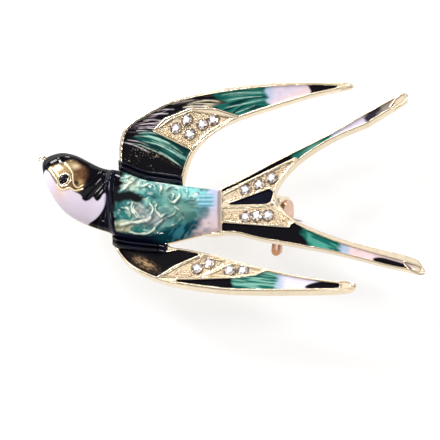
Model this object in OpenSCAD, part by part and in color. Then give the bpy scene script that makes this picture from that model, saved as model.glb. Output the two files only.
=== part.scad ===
// A swallow brooch: an enamelled, stone-set casting with a pin and a roll-over catch on its back.
// The bird lies face up in the XY plane, head towards -X, upper wing towards +Y, and stands on its fittings.

/* [Casting] */
// Thickness of the cast plate of the wings and tail
plate_t = 1.6; // [1.4:0.1:2.2]
// Width of the polished rim round every enamel cell
rim_w = 0.38; // [0.3:0.02:0.5]
// Depth of the enamel cells in the plate
cell_depth = 0.7; // [0.5:0.05:0.9]
// Width of the finer rim along the outside of the tail
tail_rim_w = 0.22; // [0.18:0.02:0.3]
// Growth of the rim along the inside of the lower arm, in width for each unit of length
tail_rim_growth = 0.03; // [0.02:0.005:0.05]
// Depth of the granulated fields that carry the stones
field_depth = 0.2; // [0.1:0.05:0.3]
// Angle that each wing is raised from the flat
wing_raise = 7; // [0:1:10]

/* [Head] */
// Length of the head from the face to the collar
head_length = 11.2; // [10:0.2:13]
// Width that the head's outline is drawn to
head_width = 12; // [11:0.2:13]
// Height of the crown of the head over the plate
head_height = 3; // [2.4:0.1:3.4]
// Length of the beak
beak_length = 1.3; // [1:0.1:1.8]
// Diameter of the black cabochon of the eye
eye_d = 1.5; // [1.2:0.1:1.8]

/* [Body] */
// Length of the body from the collar to the rump
body_length = 16.5; // [15.5:0.2:18]
// Width that the body's outline is drawn to
body_width = 11; // [10.4:0.2:12]
// Height of the back over the plate
body_height = 2.8; // [2.2:0.1:3.2]
// How far the edges of the head and body roll under
roll_under = 0.5; // [0.2:0.1:0.7]
// Thickness of the enamel skin on the head and body
skin_t = 0.45; // [0.3:0.05:0.6]
// Width of the rolled cords that cover the wing roots
cord_w = 1.5; // [1.2:0.1:1.8]
// Height of the rolled cords over the wing
cord_h = 0.9; // [0.6:0.1:1.2]

/* [Upper wing] */
// Length of the upper wing along the body
upper_wing_length = 36.9; // [35:0.2:39]
// Reach of the upper wing from the body's middle
upper_wing_reach = 19; // [18.4:0.2:21]

/* [Lower wing] */
// Length of the lower wing along the body
lower_wing_length = 38.9; // [38:0.2:41]
// Reach of the lower wing from the body's middle
lower_wing_reach = 16.5; // [16:0.2:18]

/* [Tail] */
// Length of the tail from the rump to the longer tip
tail_length = 32; // [31:0.2:35]
// Spread that the forked tail is drawn to
tail_spread = 30; // [29:0.2:33]

/* [Stones] */
// Girdle diameter of the round stones
stone_d = 1.5; // [1.3:0.05:1.6]
// Height of a stone from its point to its table
stone_h = 0.9; // [0.75:0.05:1]

/* [Pin and catch] */
// Distance from the hinge rivet to the middle of the catch
pin_reach = 25; // [23:0.5:26]
// Angle of the pin line, falling towards the tail
pin_angle = 15; // [13:0.5:18]
// Diameter of the pin wire
wire_d = 0.8; // [0.6:0.05:0.9]
// Outer diameter of the catch, which is also the height that the plate stands at
catch_d = 6.6; // [6:0.2:7.4]
// Width of the catch along the pin
catch_w = 2.4; // [2.2:0.1:3]
// Wall of the catch's ring
catch_wall = 0.6; // [0.5:0.05:0.7]
// Reach of the thumb lever from the catch's middle
lever_reach = 5.9; // [5.4:0.1:6.4]
// Width of the hinge across both ears
hinge_w = 4; // [3.4:0.1:4.6]
// Diameter of the hinge rivet
rivet_d = 0.8; // [0.6:0.05:1]

/* [Hidden] */

GOLD = "#e3cfa2";
ROSE = "#cf9673";
BLACK = "#15121c";
TEAL = "#46a0a0";
GREEN = "#23826f";
LILAC = "#dcd0e2";

// Clearances: enamel or stone in its seat, and parts that turn on each other
gap = 0.04;
turning_gap = 0.05;
// Radius of the corners of the cells
cell_corner = 0.12;
// Fine steps between two rows of a hand-drawn edge, and segments of a drawn circle
edge_steps = 4;
$fn = 48;

// Heights of the plate's back and of its rims
back_z = catch_d;
top_z = back_z + plate_t;
// How far the enamel lies below the rim
enamel_low = 0.05;
// A cutter passes this far beyond the face that it opens
over = 1;

// The wings bend up along lines this far from the body's middle
upper_bend = body_width * 0.36;
lower_bend = body_width * 0.41;

// Columns: place along the head from the collar, low edge, high edge, crown
HEAD = [
    [1.00, 0.70, 0.84, 0.10],
    [0.95, 0.52, 0.88, 0.42],
    [0.84, 0.31, 0.915, 0.72],
    [0.69, 0.125, 0.925, 0.92],
    [0.51, -0.01, 0.87, 1.00],
    [0.335, -0.10, 0.77, 0.93],
    [0.17, -0.17, 0.68, 0.80],
    [0.03, -0.225, 0.635, 0.78]];

// Columns: place along the body from the collar, low edge, high edge, crown
BODY = [
    [0.075, -0.35, 0.66, 0.95],
    [0.32, -0.44, 0.49, 1.00],
    [0.50, -0.475, 0.42, 0.92],
    [0.68, -0.44, 0.355, 0.72],
    [0.865, -0.395, 0.295, 0.42],
    [1.02, -0.36, 0.25, 0.18]];

// Columns: share of the wing's length, share of its reach
UPPER_LEAD = [
    [0.01, 0.26], [0.0, 0.40], [-0.002, 0.60], [0.025, 0.745], [0.105, 0.845], [0.235, 0.942],
    [0.406, 0.986], [0.634, 0.998], [0.813, 0.98], [0.976, 0.938]];
UPPER_TRAIL = [
    [0.985, 0.895], [0.832, 0.862], [0.70, 0.813], [0.558, 0.753], [0.46, 0.70],
    [0.370, 0.61], [0.299, 0.45], [0.259, 0.205], [0.254, 0.13]];
UPPER_TIP = [[0.998, 0.915]];
LOWER_LEAD = [
    [0.236, 0.255], [0.249, 0.35], [0.322, 0.40], [0.426, 0.479], [0.536, 0.58],
    [0.645, 0.673], [0.751, 0.757], [0.858, 0.824], [0.97, 0.88]];
LOWER_TRAIL = [
    [0.975, 0.945], [0.91, 0.953], [0.718, 0.918], [0.513, 0.868], [0.38, 0.805],
    [0.248, 0.72], [0.155, 0.62], [0.08, 0.49], [0.028, 0.315], [0.012, 0.18]];
LOWER_TIP = [[0.992, 0.917]];

// Columns: share of the tail's length, share of its spread
TAIL_TOP = [
    [-0.08, 0.06], [0.0, 0.09], [0.12, 0.137], [0.33, 0.237], [0.575, 0.347], [0.725, 0.427],
    [0.905, 0.52]];
TAIL_UPPER_TIP = [[0.928, 0.513], [0.932, 0.482]];
TAIL_INNER = [
    [0.735, 0.37], [0.565, 0.308], [0.402, 0.208], [0.308, 0.10], [0.297, 0.017],
    [0.39, -0.107], [0.575, -0.213], [0.744, -0.283], [0.906, -0.343], [0.975, -0.377]];
TAIL_LOWER_TIP = [[0.995, -0.41], [0.98, -0.443]];
TAIL_BOTTOM = [
    [0.82, -0.39], [0.575, -0.297], [0.425, -0.25], [0.23, -0.193], [0.084, -0.143],
    [-0.03, -0.14], [-0.08, -0.12]];

// Curves through the hand-drawn rows
function blend(a, b, c, d, t) =
    0.5 * (2 * b + (c - a) * t + (2 * a - 5 * b + 4 * c - d) * t * t
    + (3 * b - a - 3 * c + d) * t * t * t);
function last(list) = list[len(list) - 1];
function row_at(rows, i) = rows[min(max(i, 0), len(rows) - 1)];
function smooth(rows, steps = edge_steps) = [
    for (i = [0 : len(rows) - 2])
        for (j = [0 : steps - 1])
            blend(row_at(rows, i - 1), rows[i], rows[i + 1], row_at(rows, i + 2), j / steps),
    rows[len(rows) - 1]];

// Head and body as one row of sections: x, low y, high y, crown height
function head_row(r) = [
    -body_length / 2 - r[0] * head_length, r[1] * head_width, r[2] * head_width, r[3] * head_height];
function body_row(r) = [
    -body_length / 2 + r[0] * body_length, r[1] * body_width, r[2] * body_width, r[3] * body_height];
torso_rows = smooth(concat([for (r = HEAD) head_row(r)], [for (r = BODY) body_row(r)]), 2);
torso_across = 10;
function torso_v(j) = sin(-90 + 180 * j / torso_across);
function dome(v) = pow(max(1 - v * v, 0), 0.62);
function torso_point(r, v, lift) = [
    r[0], (r[1] + r[2]) / 2 + v * (r[2] - r[1]) / 2, top_z + r[3] * dome(v) + lift];
function torso_grid(lift) = [
    for (r = torso_rows) [for (j = [0 : torso_across]) torso_point(r, torso_v(j), lift)]];
function floor_grid(grid, z) = [for (line = grid) [for (p = line) [p[0], p[1], z]]];
function torso_outline() = concat(
    [for (r = torso_rows) [r[0], r[1]]],
    [for (i = [len(torso_rows) - 1 : -1 : 0]) [torso_rows[i][0], torso_rows[i][2]]]);

// Edges of the wings and tail in the plan
wing_root = [-body_length * 0.425, -body_length * 0.545];
function upper_point(p) = [wing_root[0] + p[0] * upper_wing_length, p[1] * upper_wing_reach];
function lower_point(p) = [wing_root[1] + p[0] * lower_wing_length, -p[1] * lower_wing_reach];
function tail_point(p) = [body_length * 0.48 + p[0] * tail_length, p[1] * tail_spread];
upper_edge = [for (p = concat(smooth(UPPER_LEAD), UPPER_TIP, smooth(UPPER_TRAIL))) upper_point(p)];
lower_edge = [for (p = concat(smooth(LOWER_LEAD), LOWER_TIP, smooth(LOWER_TRAIL))) lower_point(p)];
tail_edge = [for (p = concat(smooth(TAIL_TOP), TAIL_UPPER_TIP, smooth(TAIL_INNER, 3),
    TAIL_LOWER_TIP, smooth(TAIL_BOTTOM))) tail_point(p)];

// The origin lies under the middle of the bird's box
beak_root_d = 0.85;
beak_tip_d = 0.4;
beak_root_x = torso_rows[0][0] + beak_root_d * 0.7;
beak_tip_x = beak_root_x - beak_length - beak_tip_d / 2;
all_y = [for (p = concat(upper_edge, lower_edge, tail_edge)) p[1]];
all_x = [for (p = tail_edge) p[0]];
middle = [(beak_tip_x + max(all_x)) / 2, (min(all_y) + max(all_y)) / 2];

// Stones: place of each, as shares of the limb that carries it
UPPER_STONES = [[0.244, 0.701], [0.2915, 0.7615], [0.302, 0.641], [0.357, 0.7115], [0.403, 0.7405]];
LOWER_STONES = [[0.366, 0.603], [0.413, 0.563], [0.497, 0.652], [0.549, 0.668]];
TAIL_STONES = [
    [0.147, 0.081], [0.214, 0.103], [0.275, 0.13],
    [0.147, -0.065], [0.201, -0.066], [0.256, -0.067]];

// Cell walls and fields, drawn by hand as shares of their limb
UPPER_PATCH = [
    [0.14, 0.694], [0.195, 0.79], [0.31, 0.858], [0.42, 0.832], [0.52, 0.75], [0.52, 0.7],
    [0.31, 0.5]];
UPPER_FIELD = [[0.158, 0.7], [0.228, 0.778], [0.315, 0.828], [0.49, 0.738], [0.305, 0.525]];
LOWER_DIVIDER = [[0.185, 0.76], [0.212, 0.66], [0.28, 0.565], [0.40, 0.46]];
LOWER_BAR = [[0.392, 0.70], [0.515, 0.545]];
LOWER_LINE = [[0.20, 0.675], [0.34, 0.705], [0.51, 0.728], [0.61, 0.715], [0.68, 0.66]];
TAIL_UPPER_LINE = [[-0.02, 0.055], [0.395, 0.23], [0.45, 0.15]];
TAIL_LOWER_LINE = [[-0.02, -0.075], [0.36, -0.145], [0.42, -0.05]];
TAIL_MIDDLE = [[0.045, 0.008], [0.265, 0.073], [0.285, 0.055], [0.27, 0.0], [0.25, -0.008]];

// Solid between two grids of points of the same shape
module slab(low, high) {
    m = len(low);
    n = len(low[0]);
    at = function(i, j, up) (up * m + i) * n + j;
    polyhedron(
        points = [for (grid = [low, high]) for (line = grid) for (p = line) p],
        faces = concat(
            [for (i = [0 : m - 2]) for (j = [0 : n - 2]) for (f = [
                [at(i, j, 0), at(i + 1, j, 0), at(i + 1, j + 1, 0)],
                [at(i, j, 0), at(i + 1, j + 1, 0), at(i, j + 1, 0)],
                [at(i, j, 1), at(i + 1, j + 1, 1), at(i + 1, j, 1)],
                [at(i, j, 1), at(i, j + 1, 1), at(i + 1, j + 1, 1)]]) f],
            [for (i = [0 : m - 2]) for (f = [
                [at(i, 0, 0), at(i, 0, 1), at(i + 1, 0, 1)],
                [at(i, 0, 0), at(i + 1, 0, 1), at(i + 1, 0, 0)],
                [at(i, n - 1, 0), at(i + 1, n - 1, 0), at(i + 1, n - 1, 1)],
                [at(i, n - 1, 0), at(i + 1, n - 1, 1), at(i, n - 1, 1)]]) f],
            [for (j = [0 : n - 2]) for (f = [
                [at(0, j, 0), at(0, j + 1, 0), at(0, j + 1, 1)],
                [at(0, j, 0), at(0, j + 1, 1), at(0, j, 1)],
                [at(m - 1, j, 0), at(m - 1, j, 1), at(m - 1, j + 1, 1)],
                [at(m - 1, j, 0), at(m - 1, j + 1, 1), at(m - 1, j + 1, 0)]]) f]));
}

// A line of even width through points of the plan
function side_step(path, i) =
    let (d = row_at(path, i + 1) - row_at(path, i - 1)) [-d[1], d[0]] / norm(d);
module band(path, w) {
    polygon(concat(
        [for (i = [0 : len(path) - 1]) path[i] + side_step(path, i) * w / 2],
        [for (i = [len(path) - 1 : -1 : 0]) path[i] - side_step(path, i) * w / 2]));
}

// Places of the limbs
module centred() {
    translate([-middle[0], -middle[1], 0]) children();
}
module upper_plane() {
    translate([0, upper_bend, back_z])
        rotate([wing_raise, 0, 0])
            translate([0, -upper_bend, 0])
                children();
}
module lower_plane() {
    translate([0, -lower_bend, back_z])
        rotate([-wing_raise, 0, 0])
            translate([0, lower_bend, 0])
                children();
}
module tail_plane() {
    translate([0, 0, back_z]) children();
}

// Plans of the enamel cells, before their clearance
module limb_inside(edge) {
    difference() {
        offset(delta = -rim_w) polygon(edge);
        offset(delta = cord_w + 3 * gap) polygon(torso_outline());
    }
}
module upper_field_plan() {
    intersection() {
        polygon([for (p = UPPER_FIELD) upper_point(p)]);
        offset(delta = -rim_w) polygon(upper_edge);
    }
}
module upper_wing_cell() {
    difference() {
        limb_inside(upper_edge);
        polygon([for (p = UPPER_PATCH) upper_point(p)]);
        translate([upper_point([0.935, 0])[0], 0]) square(2 * upper_wing_reach);
    }
}
module lower_wing_root_cell() {
    difference() {
        limb_inside(lower_edge);
        lower_side_of_divider();
        band([for (p = LOWER_DIVIDER) lower_point(p)], rim_w);
    }
}
module lower_side_of_divider() {
    path = [for (p = LOWER_DIVIDER) lower_point(p)];
    polygon(concat(path, [[last(path)[0], 0], [2 * lower_wing_length, 0],
        [2 * lower_wing_length, -2 * lower_wing_reach], [path[0][0], -2 * lower_wing_reach]]));
}
module lower_wing_edge_cell() {
    line = [for (p = LOWER_LINE) lower_point(p)];
    intersection() {
        limb_inside(lower_edge);
        lower_side_of_divider();
        difference() {
            polygon(concat(line, [[2 * lower_wing_length, last(line)[1]],
                [2 * lower_wing_length, -2 * lower_wing_reach], [line[0][0], -2 * lower_wing_reach]]));
            band(line, rim_w);
            translate([lower_point([0.935, 0])[0], -2 * lower_wing_reach])
                square(2 * lower_wing_reach);
        }
    }
}
module lower_field_plan() {
    line = [for (p = LOWER_LINE) lower_point(p)];
    difference() {
        intersection() {
            limb_inside(lower_edge);
            lower_side_of_divider();
            polygon(concat(line, [[last(line)[0], 0], [line[0][0], 0]]));
        }
        band(line, rim_w);
        band([for (p = LOWER_DIVIDER) lower_point(p)], rim_w);
        band([for (p = LOWER_BAR) lower_point(p)], rim_w * 1.6);
    }
}
module tail_inside() {
    difference() {
        offset(delta = -tail_rim_w) polygon(tail_edge);
        translate([last(torso_rows)[0] + rim_w - body_length, -tail_spread])
            square([body_length, 2 * tail_spread]);
        tail_inner_rim();
    }
}
module tail_inner_rim() {
    // The rim along the fork widens towards the lower tip
    inner = [for (p = smooth(TAIL_INNER, 3)) tail_point(p)];
    widen = function(p) p[1] > 0 ? tail_rim_w
        : rim_w + tail_rim_growth * max(p[0] - tail_point([0.3, 0])[0], 0);
    polygon(concat(inner, [for (i = [len(inner) - 1 : -1 : 0])
        inner[i] - side_step(inner, i) * widen(inner[i])]));
}
module above_line(line, high) {
    path = [for (p = line) tail_point(p)];
    far = (high ? 1 : -1) * tail_spread;
    polygon(concat(path, [[2 * tail_length, last(path)[1]], [2 * tail_length, far], [path[0][0], far]]));
}
module tail_upper_cell() {
    difference() {
        intersection() {
            tail_inside();
            above_line(TAIL_UPPER_LINE, true);
        }
        translate([tail_point([0.875, 0])[0], 0]) square(tail_spread);
    }
}
module tail_lower_cell() {
    difference() {
        intersection() {
            tail_inside();
            above_line(TAIL_LOWER_LINE, false);
        }
        translate([tail_point([0.955, 0])[0], -tail_spread]) square(tail_spread);
    }
}
module tail_middle_cell() {
    polygon([for (p = TAIL_MIDDLE) tail_point(p)]);
}
module tail_field_plan() {
    difference() {
        intersection() {
            tail_inside();
            translate([0, -tail_spread]) square([tail_point([0.43, 0])[0], 2 * tail_spread]);
        }
        offset(delta = rim_w) tail_upper_cell();
        offset(delta = rim_w) tail_lower_cell();
        offset(delta = rim_w) tail_middle_cell();
    }
}

// A cell's plan with rounded corners, drawn in by a clearance
module rounded_cell(clear = 0) {
    offset(r = cell_corner, $fn = 16) offset(delta = -cell_corner - clear) children();
}
module cell_cut() {
    translate([0, 0, plate_t - cell_depth])
        linear_extrude(cell_depth + over)
            rounded_cell() children();
}
module field_cut() {
    translate([0, 0, plate_t - field_depth])
        linear_extrude(field_depth + over)
            rounded_cell() children();
}
module cell_fill() {
    translate([0, 0, plate_t - cell_depth + gap])
        linear_extrude(cell_depth - gap - enamel_low)
            rounded_cell(gap) children();
}

// Stones and their seats
stone_low = plate_t - field_depth - stone_h * 0.62;
module stone() {
    r = stone_d / 2;
    girdle_z = stone_h * 0.58;
    girdle_t = stone_h * 0.08;
    table_r = r * 0.56;
    g = function(k, up) 1 + (up ? 16 : 0) + (k + 16) % 16;
    t = function(k) 33 + (k + 8) % 8;
    points = concat(
        [[0, 0, 0]],
        [for (k = [0 : 15]) [r * cos(22.5 * k), r * sin(22.5 * k), girdle_z]],
        [for (k = [0 : 15]) [r * cos(22.5 * k), r * sin(22.5 * k), girdle_z + girdle_t]],
        [for (k = [0 : 7]) [table_r * cos(45 * k), table_r * sin(45 * k), stone_h]]);
    polyhedron(points, concat(
        [for (k = [0 : 15]) [0, g(k, false), g(k + 1, false)]],
        [for (k = [0 : 15]) for (f = [
            [g(k, false), g(k, true), g(k + 1, true)],
            [g(k, false), g(k + 1, true), g(k + 1, false)]]) f],
        [for (k = [0 : 7]) for (f = [
            [t(k), g(2 * k, true), g(2 * k - 1, true)],
            [t(k), g(2 * k + 1, true), g(2 * k, true)],
            [t(k), t(k + 1), g(2 * k + 1, true)]]) f],
        [[for (k = [7 : -1 : 0]) t(k)]]));
}
module stone_at(p) {
    color("white") translate([p[0], p[1], stone_low]) stone();
}
module seats(places) {
    for (p = places)
        translate([p[0], p[1], stone_low - gap])
            cylinder(d = stone_d + 2 * gap, h = plate_t + over);
}
upper_places = [for (p = UPPER_STONES) upper_point(p)];
lower_places = [for (p = LOWER_STONES) lower_point(p)];
tail_places = [for (p = TAIL_STONES) tail_point(p)];

// Eye: a tilted socket on the head
eye_share = [0.60, 0.455];
eye_x = -body_length / 2 - eye_share[0] * head_length;
eye_y = eye_share[1] * head_width;
eye_tilt = [-14, -16, 0];
eye_sink = 0.62;
module eye_place() {
    translate([eye_x, eye_y, top_z + head_height * eye_sink]) rotate(eye_tilt) children();
}
eye_ring_w = 0.22;
eye_ring_h = head_height * 0.4;
// The cabochon is the cap of a larger ball and sits this deep in its ring
eye_ball_d = eye_d * 1.24;
eye_depth = 0.3;
module eye_cabochon() {
    color(BLACK) centred() eye_place() translate([0, 0, eye_ring_h - eye_depth])
        intersection() {
            translate([0, 0, (eye_d - eye_ball_d) / 2]) sphere(d = eye_ball_d);
            cylinder(d = eye_d - 2 * gap, h = eye_d);
        }
}

// Pin line: x runs from the hinge towards the catch, y across, z up
pin_z = catch_d / 2;
catch_middle = [body_length * 1.018, -body_width * 0.068];
module pin_line() {
    translate([catch_middle[0], catch_middle[1], pin_z]) rotate([0, 0, -pin_angle]) children();
}
// Turns a shape so that its Z lies along the pin and its X across
module along_pin() {
    rotate([90, 0, 90]) children();
}
ring_r = catch_d / 2;
ring_in = ring_r - catch_wall;
flange_t = 0.4;
ring_w = catch_w - 2 * (flange_t + turning_gap);
lever_t = 1;
// At rest the lever's tip just touches what the brooch lies on
lever_tip = norm([lever_reach, lever_t / 2]);
lever_turn = 180 + asin(pin_z / lever_tip) - atan(lever_t / 2 / lever_reach);
opening_play = 2;
opening_from = lever_turn - asin(lever_t / 2 / ring_in) - opening_play;
opening_to = 285;
hinge_eye_d = 1.9;
ear_t = 0.7;
// The pin's end that lies in the catch is slimmer than its wire
slim_share = 0.75;

module sector(from, to, r, h) {
    steps = 12;
    linear_extrude(h, center = true)
        polygon(concat([[0, 0]], [for (k = [0 : steps])
            let (a = from + (to - from) * k / steps) r * [cos(a), sin(a)]]));
}
module catch_housing() {
    pin_line() along_pin() {
        difference() {
            cylinder(r = ring_r, h = ring_w, center = true);
            cylinder(r = ring_in, h = ring_w + over, center = true);
            sector(opening_from, opening_to, 2 * ring_r, ring_w + over);
        }
        difference() {
            translate([-ring_r * 0.55, ring_r * 0.7, -ring_w / 2])
                cube([ring_r * 1.1, ring_r * 0.3 + plate_t * 0.4, ring_w]);
            cylinder(r = ring_r - catch_wall / 2, h = ring_w + over, center = true);
        }
    }
}
module hinge_bracket() {
    ear_l = hinge_w * 0.75;
    corner = ear_l / 6;
    web_t = ear_l / 6;
    pin_line() translate([-pin_reach, 0, 0]) {
        for (side = [-1, 1])
            difference() {
                translate([0, side * (hinge_w - ear_t) / 2, 0])
                    rotate([90, 0, 0])
                        linear_extrude(ear_t, center = true)
                            polygon([
                                [-ear_l / 2, catch_d / 2 + plate_t * 0.4], [-ear_l / 2, corner - pin_z],
                                [corner - ear_l / 2, -pin_z], [ear_l / 2 - corner, -pin_z],
                                [ear_l / 2, corner - pin_z], [ear_l / 2, catch_d / 2 + plate_t * 0.4]]);
                rotate([90, 0, 0])
                    cylinder(d = rivet_d + 2 * gap, h = hinge_w + over, center = true);
            }
        translate([-ear_l / 2, -hinge_w / 2, catch_d / 2 - web_t])
            cube([ear_l, hinge_w, web_t + plate_t * 0.4]);
    }
}

module torso_metal() {
    // The underside is drawn in, so that the head and body roll under at their edges
    grid = torso_grid(0);
    slab([for (i = [0 : len(grid) - 1])
        let (y = (torso_rows[i][1] + torso_rows[i][2]) / 2, w = (torso_rows[i][2] - torso_rows[i][1]) / 2)
        [for (p = grid[i]) [p[0], y + (p[1] - y) * max(1 - roll_under / w, 0.5), back_z]]], grid);
}
module beak() {
    // Two short lobes that meet at the tip
    root = [beak_root_x, head_width * 0.835, top_z - beak_tip_d / 4];
    for (lobe = [-1, 1])
        hull() {
            translate(root + [0, lobe * beak_root_d * 0.26, 0]) sphere(d = beak_root_d, $fn = 16);
            translate(root + [-beak_length, head_width * 0.045 + lobe * beak_tip_d * 0.4, 0])
                sphere(d = beak_tip_d, $fn = 16);
        }
}
module casting() {
    color(GOLD) centred() {
        difference() {
            union() {
                torso_metal();
                upper_plane() linear_extrude(plate_t) polygon(upper_edge);
                lower_plane() linear_extrude(plate_t) polygon(lower_edge);
                tail_plane() linear_extrude(plate_t) polygon(tail_edge);
                eye_place() cylinder(d = eye_d + 2 * eye_ring_w, h = eye_ring_h);
                beak();
            }
            upper_plane() {
                cell_cut() upper_wing_cell();
                field_cut() upper_field_plan();
                seats(upper_places);
            }
            lower_plane() {
                cell_cut() lower_wing_root_cell();
                cell_cut() lower_wing_edge_cell();
                field_cut() lower_field_plan();
                seats(lower_places);
            }
            tail_plane() {
                cell_cut() tail_upper_cell();
                cell_cut() tail_middle_cell();
                cell_cut() tail_lower_cell();
                field_cut() tail_field_plan();
                seats(tail_places);
            }
            eye_place() translate([0, 0, eye_ring_h - eye_depth - gap]) cylinder(d = eye_d, h = over);
        }
        catch_housing();
        hinge_bracket();
    }
}

// Enamel skins of the head and body: what a plan region keeps of one thin shell
module torso_skin() {
    centred() intersection() {
        slab(torso_grid(gap), torso_grid(skin_t));
        translate([0, 0, back_z]) linear_extrude(catch_d) offset(delta = -gap) children();
    }
}
module torso_inside() {
    offset(delta = -rim_w * 0.8) polygon(torso_outline());
}
// Columns: share along the head from the collar, share of the head's width
THROAT = [
    [1.1, 0.75], [0.93, 0.74], [0.86, 0.64], [0.79, 0.50], [0.68, 0.37], [0.47, 0.29], [0.33, 0.20],
    [0.20, 0.21], [0.06, 0.20], [0.05, 0.13], [0.07, 0.02], [0.16, -0.10], [0.30, -0.22], [0.5, -0.4],
    [1.1, -0.4]];
function head_point(p) = [-body_length / 2 - p[0] * head_length, p[1] * head_width];
module throat_plan() {
    polygon([for (p = THROAT) head_point(p)]);
}
collar_x = -body_length * 0.45;
rump_x = body_length * 0.41;
module strip(from, to) {
    translate([from, -body_width]) square([to - from, 2 * body_width + head_width]);
}
module head_enamel() {
    color(BLACK) difference() {
        torso_skin() difference() {
            intersection() {
                torso_inside();
                strip(-2 * head_length - body_length, collar_x);
            }
            throat_plan();
        }
        centred() eye_place()
            translate([0, 0, -over]) cylinder(d = eye_d + 2 * eye_ring_w + 2 * gap, h = over + head_height);
    }
}
module throat_enamel() {
    color(LILAC) torso_skin() intersection() {
        torso_inside();
        throat_plan();
    }
}
module body_enamel() {
    color(TEAL) torso_skin() intersection() {
        torso_inside();
        strip(collar_x, rump_x);
    }
}
module rump_enamel() {
    color(LILAC) torso_skin() intersection() {
        torso_inside();
        strip(rump_x, body_length * 0.505);
    }
}

// Rolled cords that cover the wing roots, each with two ridges
cord_across = 8;
function cord_point(r, side, k, up) =
    let (v = k / cord_across,
        y = (side > 0 ? r[2] : r[1]) + side * (gap + v * cord_w),
        bend = side > 0 ? upper_bend : lower_bend,
        plate = top_z + max((side * y - bend) * tan(wing_raise), 0) + plate_t * (1 / cos(wing_raise) - 1))
    [r[0], y, plate + gap + up * cord_h * (0.15 + 0.85 * abs(sin(360 * v)))];
function cord_grid(rows, side, up) = [
    for (r = rows) [for (k = [0 : cord_across]) cord_point(r, side, k, up)]];
module cord(from, to, side) {
    rows = [for (r = torso_rows) if (r[0] > from && r[0] < to) r];
    if (side > 0) slab(cord_grid(rows, side, 0), cord_grid(rows, side, 1));
    else mirror([0, 1, 0])
        slab(flip(cord_grid(rows, side, 0)), flip(cord_grid(rows, side, 1)));
}
function flip(grid) = [for (line = grid) [for (p = line) [p[0], -p[1], p[2]]]];
module upper_cord_enamel() {
    color(BLACK) centred() cord(-body_length * 0.44, body_length * 0.17, 1);
}
module lower_cord_enamel() {
    color(BLACK) centred() cord(-body_length * 0.5, body_length * 0.03, -1);
}

module upper_wing_enamel() {
    color(GREEN) centred() upper_plane() cell_fill() upper_wing_cell();
}
module lower_wing_root_enamel() {
    color(BLACK) centred() lower_plane() cell_fill() lower_wing_root_cell();
}
module lower_wing_edge_enamel() {
    color(GREEN) centred() lower_plane() cell_fill() lower_wing_edge_cell();
}
module tail_upper_enamel() {
    color(GREEN) centred() tail_plane() cell_fill() tail_upper_cell();
}
module tail_middle_enamel() {
    color(BLACK) centred() tail_plane() cell_fill() tail_middle_cell();
}
module tail_lower_enamel() {
    color(GREEN) centred() tail_plane() cell_fill() tail_lower_cell();
}
module upper_wing_stone(k) {
    centred() upper_plane() stone_at(upper_places[k - 1]);
}
module lower_wing_stone(k) {
    centred() lower_plane() stone_at(lower_places[k - 1]);
}
module tail_stone(k) {
    centred() tail_plane() stone_at(tail_places[k - 1]);
}

// Hinge rivet with a head at each end
module hinge_rivet() {
    head_t = 0.3;
    color(GOLD) centred() pin_line() translate([-pin_reach, 0, 0]) rotate([90, 0, 0]) {
        cylinder(d = rivet_d, h = hinge_w + 2 * gap + head_t, center = true);
        for (side = [-1, 1])
            translate([0, 0, side * (hinge_w / 2 + gap + head_t / 2)])
                cylinder(d = rivet_d * 1.7, h = head_t, center = true);
    }
}

// Pin: a barrel on the rivet, a wire, and a slimmer tapered end with a point past the catch
module pin_stem() {
    barrel_w = hinge_w - 2 * ear_t - 2 * turning_gap;
    slim_d = wire_d * slim_share;
    wire_end = -catch_w * 0.9;
    point_from = catch_w * 0.67;
    point_l = wire_d * 2.5;
    color("silver") centred() pin_line() {
        difference() {
            union() {
                translate([-pin_reach, 0, 0]) rotate([90, 0, 0])
                    cylinder(d = hinge_eye_d, h = barrel_w, center = true);
                translate([-pin_reach, 0, 0]) rotate([0, 90, 0])
                    cylinder(d = wire_d, h = pin_reach + wire_end);
            }
            translate([-pin_reach, 0, 0]) rotate([90, 0, 0])
                cylinder(d = rivet_d + 2 * turning_gap, h = hinge_w, center = true);
        }
        translate([wire_end - over, 0, 0]) rotate([0, 90, 0])
            cylinder(d1 = slim_d, d2 = slim_d * 0.96, h = point_from - wire_end + over);
        translate([point_from, 0, 0]) rotate([0, 90, 0])
            cylinder(d1 = slim_d * 0.96, d2 = wire_d * 0.15, h = point_l);
    }
}

// Catch rotor: a slotted barrel between two flanges, turned by a looped thumb lever
module catch_rotor() {
    bore = wire_d * slim_share + 4 * turning_gap;
    barrel_r = ring_in - turning_gap;
    flange_r = ring_r * 0.86;
    lever_w = ring_w - 2 * turning_gap;
    loop_w = lever_w * 0.3;
    loop_from = barrel_r + lever_t * 0.6;
    loop_to = lever_reach - lever_t * 0.7;
    color(ROSE) centred() pin_line() along_pin() {
        difference() {
            union() {
                cylinder(r = barrel_r, h = catch_w - flange_t, center = true);
                for (side = [-1, 1])
                    translate([0, 0, side * (catch_w - flange_t) / 2])
                        cylinder(r = flange_r, h = flange_t, center = true);
                rotate([0, 0, lever_turn]) intersection() {
                    translate([0, -lever_t / 2, -lever_w / 2])
                        cube([lever_reach, lever_t, lever_w]);
                    union() {
                        cube([2 * (lever_reach - lever_w / 2), 2 * lever_t, 2 * lever_w], center = true);
                        translate([lever_reach - lever_w / 2, 0, 0]) rotate([90, 0, 0])
                            cylinder(d = lever_w, h = 2 * lever_t, center = true);
                    }
                }
            }
            cylinder(d = bore, h = catch_w + over, center = true);
            translate([-bore / 2, -2 * ring_r, -catch_w])
                cube([bore, 2 * ring_r, 2 * catch_w]);
            rotate([0, 0, lever_turn])
                translate([loop_from, -lever_t, -loop_w / 2])
                    cube([loop_to - loop_from, 2 * lever_t, loop_w]);
        }
    }
}

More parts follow.
